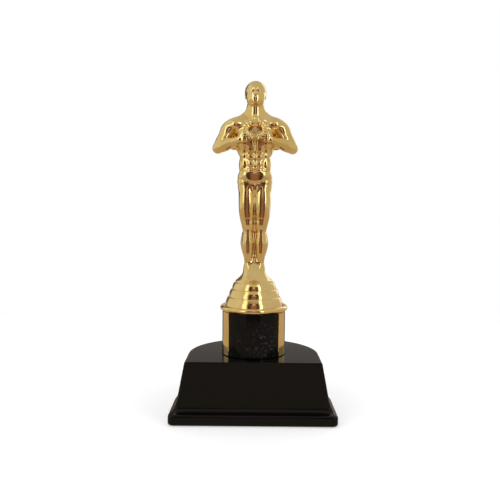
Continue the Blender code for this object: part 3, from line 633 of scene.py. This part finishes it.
class Limb:
    """A round tapered stretch between two points."""

    def __init__(self, start, start_radius, end, end_radius):
        self.start, self.end = np.array(start, float), np.array(end, float)
        self.radii = (start_radius, end_radius)

    def mirrored(self):
        flip = (-1, 1, 1)
        return Limb(self.start * flip, self.radii[0], self.end * flip, self.radii[1])

    def reach(self):
        thick = max(self.radii)
        return np.minimum(self.start, self.end) - thick, np.maximum(self.start, self.end) + thick

    def distance(self, place):
        way = self.end - self.start
        away = [axis - middle for axis, middle in zip(place, self.start)]
        share = np.clip(sum(a * w for a, w in zip(away, way)) / (way @ way), 0, 1)
        off = np.sqrt(sum((a - share * w) ** 2 for a, w in zip(away, way)))
        return off - (self.radii[0] + (self.radii[1] - self.radii[0]) * share)


class Flare:
    """The trumpet-shaped mound under the feet, wide at the sole and as narrow as the ankles above."""

    SHORT = 0.8  # the wall slopes, so it is nearer than a level line shows

    def __init__(self, sole, ankles, spread, sag, height):
        self.sole, self.ankles, self.height = sole, ankles, height
        self.spread, self.sag = spread, sag

    def mirrored(self):
        return self

    def reach(self):
        return (-self.sole, -self.sole, 0), (self.sole, self.sole, self.height)

    def distance(self, place):
        x, y, z = place
        rise = np.clip(z / self.height, 0, 1)
        swell = self.spread * np.exp(-rise * self.height / self.sag)
        wide, deep = (np.minimum(radius * (1 - rise**2) + swell, self.sole) for radius in self.ankles)
        return np.maximum((np.hypot(x / wide, y / deep) - 1) * deep * self.SHORT, z - self.height)


class Clay:
    """Distances on a grid over the figure's right half. Shapes melt into it or are cut out of it."""

    FAR = 6.0
    MARGIN = 1.5

    def __init__(self, low, high, cell):
        self.low = np.array(low, float)
        self.cell = cell
        self.shape = np.ceil((np.array(high) - self.low) / cell).astype(int) + 1
        self.field = np.full(self.shape, self.FAR, np.float32)

    def window(self, shape, margin):
        low, high = shape.reach()
        first = np.floor((np.array(low) - margin - self.low) / self.cell).astype(int)
        last = np.ceil((np.array(high) + margin - self.low) / self.cell).astype(int) + 1
        first, last = (np.clip(ends, 0, self.shape) for ends in (first, last))
        part = tuple(slice(a, b) for a, b in zip(first, last))
        axes = [self.low[n] + self.cell * np.arange(first[n], last[n], dtype=np.float32) for n in range(3)]
        return part, np.meshgrid(*axes, indexing="ij", sparse=True)

    def melt(self, shape, blend, sign):
        for twin in (shape, shape.mirrored()):
            part, place = self.window(twin, blend + self.MARGIN)
            if self.field[part].size:
                self.field[part] = sign * smooth_min(sign * self.field[part], twin.distance(place), blend)

    def add(self, shape, blend):
        self.melt(shape, blend, 1)

    def carve(self, shape, blend):
        self.melt(shape, blend, -1)

    def score(self, level, slope, depth, width):
        """Sinks a fine line all round, at a level that climbs away from the middle."""
        x, _, z = (self.low[n] + self.cell * np.arange(self.shape[n], dtype=np.float32) for n in range(3))
        off = (z[None, :] - level - slope * x[:, None]) / width
        self.field += (depth * np.exp(-(off**2)))[:, None, :]

    def whole(self):
        """The field of both halves, and its lowest corner."""
        field = np.concatenate([self.field[:0:-1], self.field])
        return field, self.low - (self.cell * (self.shape[0] - 1), 0, 0)


def smooth_min(first, second, blend):
    """The smaller of two distances, with a fillet where they are alike."""
    near = np.maximum(blend - np.abs(first - second), 0) / blend
    return np.minimum(first, second) - near * near * (blend / 4)


def surface(field, low, cell):
    """Surface nets: a point in each cell that the surface crosses, and a quad over each crossed edge."""
    inside = field < 0
    cells_shape = np.array(field.shape) - 1
    corners = np.array([(i, j, k) for i in (0, 1) for j in (0, 1) for k in (0, 1)])
    count = np.zeros(cells_shape, np.int8)
    for i, j, k in corners:
        count += inside[i : i + cells_shape[0], j : j + cells_shape[1], k : k + cells_shape[2]]
    cells = np.argwhere((count > 0) & (count < len(corners)))
    total = np.zeros((len(cells), 3))
    hits = np.zeros(len(cells))
    for corner in corners:
        for axis in np.flatnonzero(corner == 0):
            step = np.eye(3, dtype=int)[axis]
            here = field[tuple((cells + corner).T)]
            there = field[tuple((cells + corner + step).T)]
            crossed = (here < 0) != (there < 0)
            share = here[crossed] / (here[crossed] - there[crossed])
            total[crossed] += corner + step * share[:, None]
            hits += crossed
    points = low + (cells + total / hits[:, None]) * cell
    index = np.full(cells_shape, -1, np.int32)
    index[tuple(cells.T)] = np.arange(len(cells))
    quads = []
    for axis in range(3):
        u, v = np.eye(3, dtype=int)[[(axis + 1) % 3, (axis + 2) % 3]]
        ahead = np.roll(inside, -1, axis=axis)
        for starts, flip in ((inside & ~ahead, 1), (~inside & ahead, -1)):
            edges = np.argwhere(starts)
            ring = np.stack([index[tuple((edges - back).T)] for back in (0 * u, u, u + v, v)], axis=1)
            quads.append(ring[:, ::flip])
    return points, np.concatenate(quads)


# Figure: anatomy, above the sole

CELL = 0.3
FIGURE_REACH = 30
FIGURE_FRONT = -18
FIGURE_BACK = 13
SMOOTHING = 5
HEAD_NOD = -9
SKULL = np.array((0, 0.7, 120.4))


def model_legs(clay):
    clay.add(Limb((3.1, 1.0, 9.5), 2.5, (4.2, 1.4, 25), 4.0), 2)  # lower leg
    clay.add(Ball((4.7, 2.4, 26.5), (4.0, 4.2, 9.2)), 2)  # calf
    clay.add(Limb((3.4, -0.4, 11), 1.9, (4.2, -1.2, 33), 2.7), 1.5)  # shin
    clay.add(Ball((4.2, -1.9, 25), (3.1, 2.0, 10.5)), 1.5)  # front of the shin
    clay.add(Limb((4.3, 0.2, 36.5), 3.9, (5.3, 0.1, 60), 5.2), 2)  # thigh
    clay.add(Ball((6.7, -0.4, 50), (3.4, 4.1, 13)), 1.6)  # outer thigh
    clay.add(Ball((4.9, -3.4, 51.5), (4.5, 2.6, 14)), 1.6)  # front of the thigh
    clay.add(Ball((2.5, -0.6, 51), (2.7, 4.0, 12)), 1.2)  # inner thigh
    clay.add(Ball((2.9, -1.9, 43.5), (2.5, 2.9, 5.5)), 1.2)  # muscle above the knee
    clay.add(Ball((5.0, 2.9, 50), (4.2, 3.6, 13)), 1.6)  # back of the thigh
    clay.add(Ball((4.4, -2.3, 37.6), (2.7, 2.4, 3.2)), 1.6)  # kneecap
    clay.add(Ball((2.7, -0.8, 38), (2.4, 3.2, 4.5)), 1.6)  # inner knee
    clay.add(Limb((0, 1.4, 6), 1.8, (0, 1.0, 60), 2.4), 1.4)  # web between the legs


def model_feet(clay):
    clay.add(Flare(11.2, (5.0, 3.0), 9.4, 4.2, 16), 2)  # mound
    clay.add(Limb((3.1, 0.6, 9.5), 2.5, (3.6, -5.6, 2.6), 2.3), 3)  # foot
    clay.add(Limb((3.2, 1.6, 9), 2.4, (3.4, 4.0, 2), 2.6), 3)  # heel


def model_trunk(clay):
    clay.add(Ball((0, 0.3, 66), (10.2, 6.3, 7.5)), 2)  # pelvis
    clay.add(Ball((7.4, 0.4, 65.5), (3.5, 5.2, 7.5)), 2)  # hip
    clay.add(Ball((4.5, 4.3, 64.3), (4.9, 4.1, 5.8)), 1.3)  # seat
    clay.add(Ball((0, -2.8, 60.5), (2.5, 2.7, 4)), 1.5)  # groin
    clay.add(Ball((0, -0.2, 76), (9.4, 5.6, 10)), 2)  # waist
    clay.add(Ball((7.1, -0.3, 75), (3.0, 4.7, 6.6)), 1.2)  # flank
    clay.add(Ball((0, -4.6, 68.2), (8.4, 2.1, 6.0), (5, 0, 0)), 0.7)  # lower belly
    clay.add(Ball((0, 0.3, 89.5), (10.8, 7.2, 13.5)), 2.5)  # rib cage
    clay.add(Ball((8.8, 1.6, 90), (3.4, 4.8, 9)), 2)  # side of the ribs
    clay.add(Limb((2.7, -3.1, 72), 2.7, (2.9, -3.3, 90), 3.1), 1.5)  # belly
    clay.add(Ball((0, 0.8, 98.6), (14, 5.4, 5)), 2.5)  # shoulder girdle
    clay.add(Ball((12.6, 0.6, 101.4), (5.2, 4.4, 4.2)), 2)  # top of the shoulder
    clay.add(Ball((0, -0.7, 96.5), (12.5, 5.6, 8.6)), 2)  # upper chest
    clay.add(Ball((12.4, -2.2, 100.6), (4.8, 3.6, 3.6)), 2)  # front of the shoulder
    clay.add(Ball((5.4, -4.4, 91.6), (6.4, 3.5, 7.2), (-8, -8, 0)), 1.0)  # breast
    clay.add(Limb((1.4, -3.8, 103.6), 0.8, (13, -0.6, 103.4), 1.2), 2)  # collarbone
    clay.carve(Ball((0, -5.6, 105), (1.0, 1.2, 1.5)), 0.8)  # pit of the throat
    for rise in (80.5, 83.6, 86.7):
        clay.add(Limb((7.4, -4.0, rise), 0.8, (9.6, -1.4, rise + 2.4), 1.2), 1.6)  # rib muscle
    clay.carve(Limb((0, -6.6, 73), 0.7, (0, -7.0, 90), 0.8), 0.9)  # midline
    clay.carve(Limb((5.4, -6.5, 72), 0.7, (6.4, -6.4, 86), 0.7), 1.2)  # edge of the belly
    for rise in (73.2, 77.6, 82.0):
        clay.carve(Limb((0, -6.6, rise), 0.7, (5.0, -6.4, rise + 0.5), 0.7), 0.8)  # crease across the belly
    clay.score(63.2, 0.29, 0.45, 0.5)  # line of the groin
    clay.score(71.0, 0.02, 0.22, 0.4)  # line of the hips


def model_back(clay):
    clay.add(Ball((5.0, 5.1, 93), (4.7, 2.7, 7.2)), 1.5)  # shoulder blade
    clay.add(Limb((2.5, 4.6, 68), 2.2, (2.8, 5.4, 86), 2.3), 1.5)  # muscle beside the spine
    clay.add(Limb((2.6, 1.8, 109.5), 3.0, (12.5, 1.2, 101), 3.0), 2.5)  # slope of the neck
    clay.add(Ball((7.5, 0.6, 103), (5.0, 3.6, 2.7)), 2.5)  # over the collarbone
    clay.carve(Limb((0, 8.6, 68), 0.9, (0, 9.2, 103), 0.9), 1.5)  # spine


def model_arms(clay):
    clay.add(Ball((17.0, 0.4, 97.6), (5.0, 5.0, 6.6), (0, -24, 0)), 1.6)  # shoulder
    clay.add(Limb((17.6, 0.4, 96.8), 4.4, (23.9, -0.8, 86.2), 3.2), 1.6)  # upper arm
    clay.add(Ball((19.6, -2.0, 91.6), (3.1, 3.1, 5.8), (0, -33, 0)), 1.0)  # biceps
    clay.add(Ball((21.8, 1.4, 91.4), (3.0, 2.9, 6), (0, -33, 0)), 1.2)  # triceps
    clay.add(Ball((13.4, 1.2, 91.4), (5.6, 2.6, 6.5)), 1.2)  # fold of the armpit
    clay.add(Limb((23.8, -1.0, 85.4), 3.2, (9.8, -10.8, 89.8), 2.5), 1.2)  # forearm
    clay.add(Ball((17.6, -5.6, 88.3), (6.2, 3.0, 2.9), (0, 17, 35)), 0.9)  # top of the forearm
    clay.add(Ball((19, -4.4, 85.6), (5.6, 2.5, 2.2), (0, 14, 35)), 0.7)  # underside of the forearm


def model_hands(clay):
    clay.add(Ball((8.3, -11.6, 90.8), (2.3, 1.7, 3.0), (0, 20, 30)), 0.9)  # palm
    for finger in range(4):
        rise = 88.9 + 1.3 * finger
        middle = (5.7, -13.3, rise + 0.3)
        clay.add(Limb((7.8 - 0.15 * finger, -13.0, rise), 0.85, middle, 0.75), 0.25)  # first joint
        clay.add(Limb(middle, 0.75, (5.0, -11.8, rise + 0.4), 0.65), 0.25)  # fingertip
    clay.add(Limb((8.8, -12.2, 92.8), 1.0, (6.9, -12.6, 95.0), 0.8), 0.4)  # thumb


def on_head(x, y, z):
    """A place on the head, from the middle of the skull, as the nod tips it."""
    nod = math.radians(HEAD_NOD)
    return SKULL + (x, y * math.cos(nod) - z * math.sin(nod), y * math.sin(nod) + z * math.cos(nod))


def model_head(clay):
    def lump(place, radii, blend):
        clay.add(Ball(on_head(*place), radii, (HEAD_NOD, 0, 0)), blend)

    def ridge(start, start_radius, end, end_radius, blend):
        clay.add(Limb(on_head(*start), start_radius, on_head(*end), end_radius), blend)

    clay.add(Limb((0, 1.4, 100), 5.6, (0, 0.8, 113), 4.9), 2.2)  # neck
    clay.add(Limb((1.3, -4.2, 104), 0.9, (4.1, 1.6, 113), 1.0), 1.2)  # cord of the neck
    lump((0, 0.6, 1.2), (6.5, 7.6, 7.6), 1)  # skull
    lump((0, -2.0, -2.6), (5.3, 5.2, 5.6), 1.5)  # face
    lump((0, -2.6, -5.0), (4.5, 3.9, 3.1), 1.8)  # jaw
    lump((0, -5.4, -6.7), (1.9, 1.4, 1.3), 0.9)  # chin
    lump((3.4, -4.6, -1.2), (1.7, 1.4, 1.2), 1)  # cheekbone
    clay.carve(Ball(on_head(2.2, -7.0, 0.3), (1.7, 1.3, 1.0), (HEAD_NOD, 0, 0)), 0.6)  # eye socket
    ridge((0.9, -6.6, 1.6), 0.6, (4.2, -5.1, 1.8), 0.55, 0.6)  # brow
    lump((2.15, -5.5, 0.2), (1.2, 1.1, 0.95), 0.15)  # eye
    ridge((0.95, -6.2, 0.35), 0.25, (2.15, -6.65, 0.75), 0.28, 0.2)  # inner lid
    ridge((2.15, -6.65, 0.75), 0.28, (3.4, -5.9, 0.35), 0.25, 0.2)  # outer lid
    ridge((0, -6.6, 1.3), 0.55, (0, -7.9, -2.0), 0.78, 0.5)  # bridge of the nose
    lump((0, -7.9, -2.3), (0.85, 0.8, 0.7), 0.3)  # tip of the nose
    lump((0.85, -7.1, -2.5), (0.6, 0.7, 0.55), 0.3)  # nostril
    lump((0, -5.7, -4.3), (2.2, 1.4, 1.7), 0.8)  # mouth
    ridge((0, -7.1, -4.0), 0.36, (1.4, -6.5, -4.25), 0.24, 0.25)  # upper lip
    ridge((0, -6.95, -4.9), 0.4, (1.1, -6.5, -4.75), 0.26, 0.25)  # lower lip
    lump((6.3, 0.7, -0.7), (0.75, 1.5, 2.2), 0.3)  # ear
    clay.carve(Ball(on_head(7.1, 0.4, -0.5), (0.5, 0.8, 1.3)), 0.3)  # hollow of the ear
    lump((0, 1.7, 2.1), (6.95, 7.45, 7.2), 0.15)  # cropped hair


def build_figure():
    """Both halves of the figure, cut from one modelled skin."""
    height = FIGURE_HIGH.z - SOLE
    clay = Clay((0, FIGURE_FRONT, -2 * CELL), (FIGURE_REACH, FIGURE_BACK, height + 2), CELL)
    for model in (model_legs, model_feet, model_trunk, model_back, model_arms, model_hands, model_head):
        model(clay)
    field, low = clay.whole()
    levels = (low[2] + CELL * np.arange(field.shape[2])).astype(np.float32)
    points, faces = surface(np.maximum(field, -levels), low, CELL)
    points += (0, AXIS_Y, SOLE)
    halves = {"figure_front_gilt": ("figure_front", 1), "figure_back_gilt": ("figure_back", -1)}
    for name, (node, way) in halves.items():
        half = new_object(name, points, faces.tolist())
        smooth_half(half.data, way)
        dress(half, "gilt", "figure", node)


def smooth_half(mesh, way):
    """Smooths the figure's skin and keeps the half before the seam, or behind it."""
    shape = bmesh.new()
    shape.from_mesh(mesh)
    for _ in range(SMOOTHING):
        bmesh.ops.smooth_vert(
            shape, verts=shape.verts, factor=0.5, use_axis_x=True, use_axis_y=True, use_axis_z=True
        )
    cut = bmesh.ops.bisect_plane(
        shape,
        geom=[*shape.verts, *shape.edges, *shape.faces],
        dist=1e-7,
        plane_co=(0, AXIS_Y * MM, 0),
        plane_no=(0, way, 0),
        clear_outer=True,
    )
    seam = [part for part in cut["geom_cut"] if isinstance(part, bmesh.types.BMEdge)]
    bmesh.ops.triangle_fill(shape, edges=seam, normal=(0, way, 0), use_beauty=True)
    for face in shape.faces:
        face.smooth = True
    for edge in seam:
        edge.smooth = False
    shape.to_mesh(mesh)
    shape.free()


# Wreath

WREATH_CENTRE = np.array((0, -10.6, 96.2))
WREATH_RADII = (6.1, 5.4)
WREATH_START = -4
WREATH_END = 150
WREATH_TILT = 24
WREATH_FACE = (0, -1, 0.2)
STEM_RADIUS = 0.5
STEM_STEPS = 29
ROUND_STEPS = 10
LEAF_LENGTH = 4.0
LEAF_WIDTH = 2.1
LEAF_TIP = 0.05
LEAF_TAPER = 0.8
LEAF_RIB = 0.4
LEAF_BOW = 0.5
LEAF_LIFT = 0.15
LEAF_SPLAYS = (0.5, -0.55)
LEAF_STATIONS = 8
LEAF_STEPS = 8
FIRST_STATION = 0.4
BERRY_RADIUS = 0.55
BERRY_STAND = 0.5
BERRY_POLE = 80
BERRY_STEPS = 6


def wreath_place(angle, side):
    """A point of the stem, and the ways along it and out of the wreath, at an angle from the bottom."""
    turn = math.radians(angle)
    tilt = math.radians(WREATH_TILT)

    def lean(x, z):
        return Vector((side * x, z * math.sin(tilt), z * math.cos(tilt)))

    point = lean(WREATH_RADII[0] * math.sin(turn), -WREATH_RADII[1] * math.cos(turn))
    along = lean(WREATH_RADII[0] * math.cos(turn), WREATH_RADII[1] * math.sin(turn)).normalized()
    out = lean(math.sin(turn), -math.cos(turn)).normalized()
    return Vector(WREATH_CENTRE) + point, along, out


def leaf(root, along, face):
    """A pointed leaf with a raised midrib: points and faces of a thin closed blade."""
    across = along.cross(face).normalized()
    section = [(-1, 0), (-0.5, LEAF_RIB / 2), (0, LEAF_RIB), (0.5, LEAF_RIB / 2), (1, 0), (0, -LEAF_RIB)]
    rows = []
    for share in np.linspace(0, 1, LEAF_STEPS + 1):
        half = LEAF_WIDTH / 2 * math.sin(math.pi * share**LEAF_TAPER) ** LEAF_TAPER + LEAF_TIP
        spine = root + along * (LEAF_LENGTH * share) + face * (LEAF_BOW * math.sin(math.pi * share))
        rows.append([spine + across * (half * u) + face * v for u, v in section])
    return skin(rows, closed=False)


def berry(middle):
    """A small ball with flat poles."""
    rings = []
    turn = arc(1, 0, 360, ROUND_STEPS)[:-1]
    for width, rise in arc(BERRY_RADIUS, -BERRY_POLE, BERRY_POLE, BERRY_STEPS):
        rings.append([middle + Vector((width * x, width * y, rise)) for x, y in turn])
    return skin(rings, closed=False)


def build_wreath():
    """Two leafy stems that meet below, with a berry between each pair of leaves."""
    points, faces = [], []

    def gather(part):
        faces.extend([[corner + len(points) for corner in face] for face in part[1]])
        points.extend([*part[0]])

    turn = arc(1, 0, 360, ROUND_STEPS)[:-1]
    front = Vector(WREATH_FACE).normalized()
    for side in (-1, 1):
        stem = []
        for angle in np.linspace(WREATH_START, WREATH_END, STEM_STEPS + 1):
            point, along, out = wreath_place(angle, side)
            face = out.cross(along).normalized()
            stem.append([point + (out * x + face * y) * STEM_RADIUS for x, y in turn])
        gather(skin(stem, closed=False))
        for station in range(LEAF_STATIONS):
            point, along, out = wreath_place((station + FIRST_STATION) * WREATH_END / LEAF_STATIONS, side)
            root = point + front * STEM_RADIUS
            for splay in LEAF_SPLAYS:
                way = (along + out * splay + front * LEAF_LIFT).normalized()
                gather(leaf(root, way, (front - way * front.dot(way)).normalized()))
            gather(berry(root + front * BERRY_STAND))
    wreath = new_object("laurel_wreath", np.array(points) + (0, AXIS_Y, SOLE), faces)
    shape = bmesh.new()
    shape.from_mesh(wreath.data)
    bmesh.ops.recalc_face_normals(shape, faces=shape.faces)
    shape.to_mesh(wreath.data)
    shape.free()
    dress(wreath, "gilt", "figure", "figure_front")


# Stage

CAMERA_DISTANCE = 358
CAMERA_HEIGHT = 121.9
FOCAL_PIXELS = 560
PICTURE_PIXELS = 500
AXIS_PIXEL = 254.6
HORIZON_PIXEL = 217.6
PICTURE_LEAN = 0.5
SENSOR = 36
ROOM_RADIUS = 1500
ROOM_HEIGHT = 2400
SIDE_RADIUS = ROOM_RADIUS * 0.95
WINDOW_RADIUS = ROOM_RADIUS * 0.9
VIEWER_DISTANCE = 340
VIEWER_HEIGHT = 300
SHIRT_DISTANCE = VIEWER_DISTANCE - 5
HEAD_DISTANCE = VIEWER_DISTANCE - 10
CARD_STEPS = 32
SQUARE = ((-1, -1), (1, -1), (1, 1), (-1, 1))
FLOOR_Z = -0.1
FLOOR_REACH = 330
FLOOR_COLOUR = (0.8, 0.8, 0.8, 1)
FLOOR_GLOW = 0.37
WORLD_LIGHT = 0.45

# Bowed cards: name, ends in degrees from the front, heights, distance, colour, strength,
# and the share of the width that fades at each edge
CARDS = (
    ("room_wall", (-180, 180), (-10, ROOM_HEIGHT), ROOM_RADIUS, (0.62, 0.57, 0.49), 1.0, 0.0),
    ("room_left", (-150, -48), (-300, ROOM_HEIGHT), SIDE_RADIUS, (0.76, 0.73, 0.66), 1.0, 0.15),
    ("window_left", (-48, -29), (60, 1750), WINDOW_RADIUS, (1.0, 0.97, 0.84), 1.7, 0.1),
    ("window_right", (24, 35), (60, 1750), WINDOW_RADIUS, (1.0, 0.98, 0.94), 2.8, 0.1),
    ("window_rear", (134, 160), (-200, 1600), WINDOW_RADIUS, (1.0, 0.95, 0.86), 1.5, 0.3),
    ("room_door", (190, 234), (-300, 1500), WINDOW_RADIUS, (0.13, 0.10, 0.08), 1.0, 0.3),
    ("room_back", (166, 194), (290, 480), WINDOW_RADIUS, (0.28, 0.25, 0.225), 1.0, 0.2),
    ("viewer", (-25, 23), (0, VIEWER_HEIGHT), VIEWER_DISTANCE, (0.05, 0.03, 0.024), 1.0, 0.0),
    ("viewer_shirt", (-13, 12), (0, 200), SHIRT_DISTANCE, (0.32, 0.14, 0.11), 1.0, 0.1),
    ("viewer_head", (-6, 6), (165, 285), HEAD_DISTANCE, (0.72, 0.58, 0.60), 1.0, 0.1),
)
# Level cards: name, height and colour
LEVEL_CARDS = (
    ("room_ceiling", ROOM_HEIGHT, (0.62, 0.58, 0.52)),
    ("table_top", FLOOR_Z / 2, (0.56, 0.44, 0.33)),
)
# Lamps: name, place, size and power
LAMPS = (
    ("lamp_left", (-700, -500, 800), 700, 2.6),
    ("lamp_right", (750, -350, 700), 700, 2.2),
    ("lamp_top", (0, 200, 1100), 900, 3),
)
LAMP_AIM = (0, AXIS_Y, 100)


def glow(name, colour, strength):
    """A light that thins out to nothing where the mesh's fade falls to 0."""
    made = bpy.data.materials.new(name)
    made.use_nodes = True
    nodes, links = made.node_tree.nodes, made.node_tree.links
    nodes.remove(nodes["Principled BSDF"])
    light = nodes.new("ShaderNodeEmission")
    light.inputs["Color"].default_value = (*colour, 1)
    light.inputs["Strength"].default_value = strength
    fade = nodes.new("ShaderNodeAttribute")
    fade.attribute_name = "fade"
    mix = nodes.new("ShaderNodeMixShader")
    links.new(fade.outputs["Fac"], mix.inputs[0])
    links.new(nodes.new("ShaderNodeBsdfTransparent").outputs[0], mix.inputs[1])
    links.new(light.outputs[0], mix.inputs[2])
    links.new(mix.outputs[0], nodes["Material Output"].inputs["Surface"])
    return made


def only_mirrored(name, points, faces, fade, colour, strength):
    """A stage piece that nothing but reflections shows."""
    stand = new_object(name, points, faces)
    stand.data.attributes.new("fade", "FLOAT", "POINT").data.foreach_set("value", np.float32(fade))
    stand.data.materials.append(glow(name, colour, strength))
    stand.visible_camera = stand.visible_diffuse = stand.visible_shadow = stand.visible_transmission = False


def card(name, turn, rise, radius, colour, strength, soft):
    """A bowed card round the object, which fades out towards its edges."""
    shares = np.linspace(0, 1, CARD_STEPS + 1)
    edge = np.clip(np.minimum(shares, 1 - shares) / soft, 0, 1) if soft else np.ones_like(shares)
    edge = edge * edge * (3 - 2 * edge)
    plan = arc(radius, turn[0] - 90, turn[1] - 90, CARD_STEPS)
    points = [(x, y, rise[0] + (rise[1] - rise[0]) * share) for share in shares for x, y in plan]
    index = np.arange(len(points)).reshape(CARD_STEPS + 1, CARD_STEPS + 1)
    corners = index[:-1, :-1], index[:-1, 1:], index[1:, 1:], index[1:, :-1]
    faces = np.stack(corners, axis=-1).reshape(-1, 4).tolist()
    only_mirrored(name, points, faces, np.outer(edge, edge).ravel(), colour, strength)


def level_card(name, z, colour):
    """A flat card over or under the object."""
    points = [(ROOM_RADIUS * x, ROOM_RADIUS * y, z) for x, y in SQUARE]
    only_mirrored(name, points, [(0, 1, 2, 3)], np.ones(len(SQUARE)), colour, 1.0)


def build_cards():
    """What the gold mirrors: a beige room with windows, and someone dark before it."""
    for row in CARDS:
        card(*row)
    for row in LEVEL_CARDS:
        level_card(*row)


def seen_rays(tree):
    """1 for what the eye sees, straight or in a mirror or glass, and 0 for what only lights."""
    ray = tree.nodes.new("ShaderNodeLightPath").outputs
    seen = ray["Is Camera Ray"]
    for name in ("Is Glossy Ray", "Is Transmission Ray"):
        either = tree.nodes.new("ShaderNodeMath")
        either.operation = "MAXIMUM"
        tree.links.new(seen, either.inputs[0])
        tree.links.new(ray[name], either.inputs[1])
        seen = either.outputs[0]
    return seen


def build_floor():
    """A pale floor that glows up to white where it is seen, and keeps the object's shadow."""
    points = [(FLOOR_REACH * x, FLOOR_REACH * y, FLOOR_Z) for x, y in SQUARE]
    floor = new_object("floor", points, [(0, 1, 2, 3)])
    g = Graph("floor")
    g.set(Base_Color=FLOOR_COLOUR, Roughness=0.9, Specular_IOR_Level=0.0)
    g.set(Emission_Color=(1, 1, 1, 1), Emission_Strength=g.times(seen_rays(g.finish.node_tree), FLOOR_GLOW))
    floor.data.materials.append(g.finish)


def build_world():
    """White where it is seen, by the eye or in a mirror, and softer as a light."""
    world = bpy.data.worlds.new("studio")
    bpy.context.scene.world = world
    world.use_nodes = True
    nodes, links = world.node_tree.nodes, world.node_tree.links
    level = nodes.new("ShaderNodeMapRange")
    links.new(seen_rays(world.node_tree), level.inputs["Value"])
    level.inputs["To Min"].default_value = WORLD_LIGHT
    level.inputs["To Max"].default_value = 1.0
    links.new(level.outputs["Result"], nodes["Background"].inputs["Strength"])
    nodes["Background"].inputs["Color"].default_value = (1, 1, 1, 1)


def lamp(name, place, size, power):
    """A round area lamp that no mirror shows."""
    light = bpy.data.lights.new(name, "AREA")
    light.shape = "DISK"
    light.size = size * MM
    light.energy = power
    made = bpy.data.objects.new(name, light)
    made.location = Vector(place) * MM
    made.rotation_euler = (Vector(LAMP_AIM) - Vector(place)).to_track_quat("-Z", "Y").to_euler()
    made.visible_glossy = False
    bpy.context.scene.collection.objects.link(made)


def build_lamps():
    for row in LAMPS:
        lamp(*row)


def build_camera():
    """A level camera. The frame is shifted, as the picture is cut from a wider one."""
    camera = bpy.data.cameras.new("camera")
    camera.sensor_width = SENSOR
    camera.lens = SENSOR * FOCAL_PIXELS / PICTURE_PIXELS
    camera.shift_x = 0.5 - AXIS_PIXEL / PICTURE_PIXELS
    camera.shift_y = HORIZON_PIXEL / PICTURE_PIXELS - 0.5
    camera.clip_start = 10 * MM
    made = bpy.data.objects.new("camera", camera)
    made.location = Vector((0, AXIS_Y - CAMERA_DISTANCE, CAMERA_HEIGHT)) * MM
    made.rotation_euler = (math.pi / 2, -math.radians(PICTURE_LEAN), 0)
    bpy.context.scene.collection.objects.link(made)
    bpy.context.scene.camera = made


build_base()
build_column()
build_cap()
build_plinth()
for nut in NUTS:
    build_nut(nut)
build_rod()
build_washer()
build_figure()
build_wreath()
build_floor()
build_cards()
build_world()
build_lamps()
build_camera()
bpy.context.scene.view_settings.view_transform = "Standard"

bpy.context.view_layer.update()
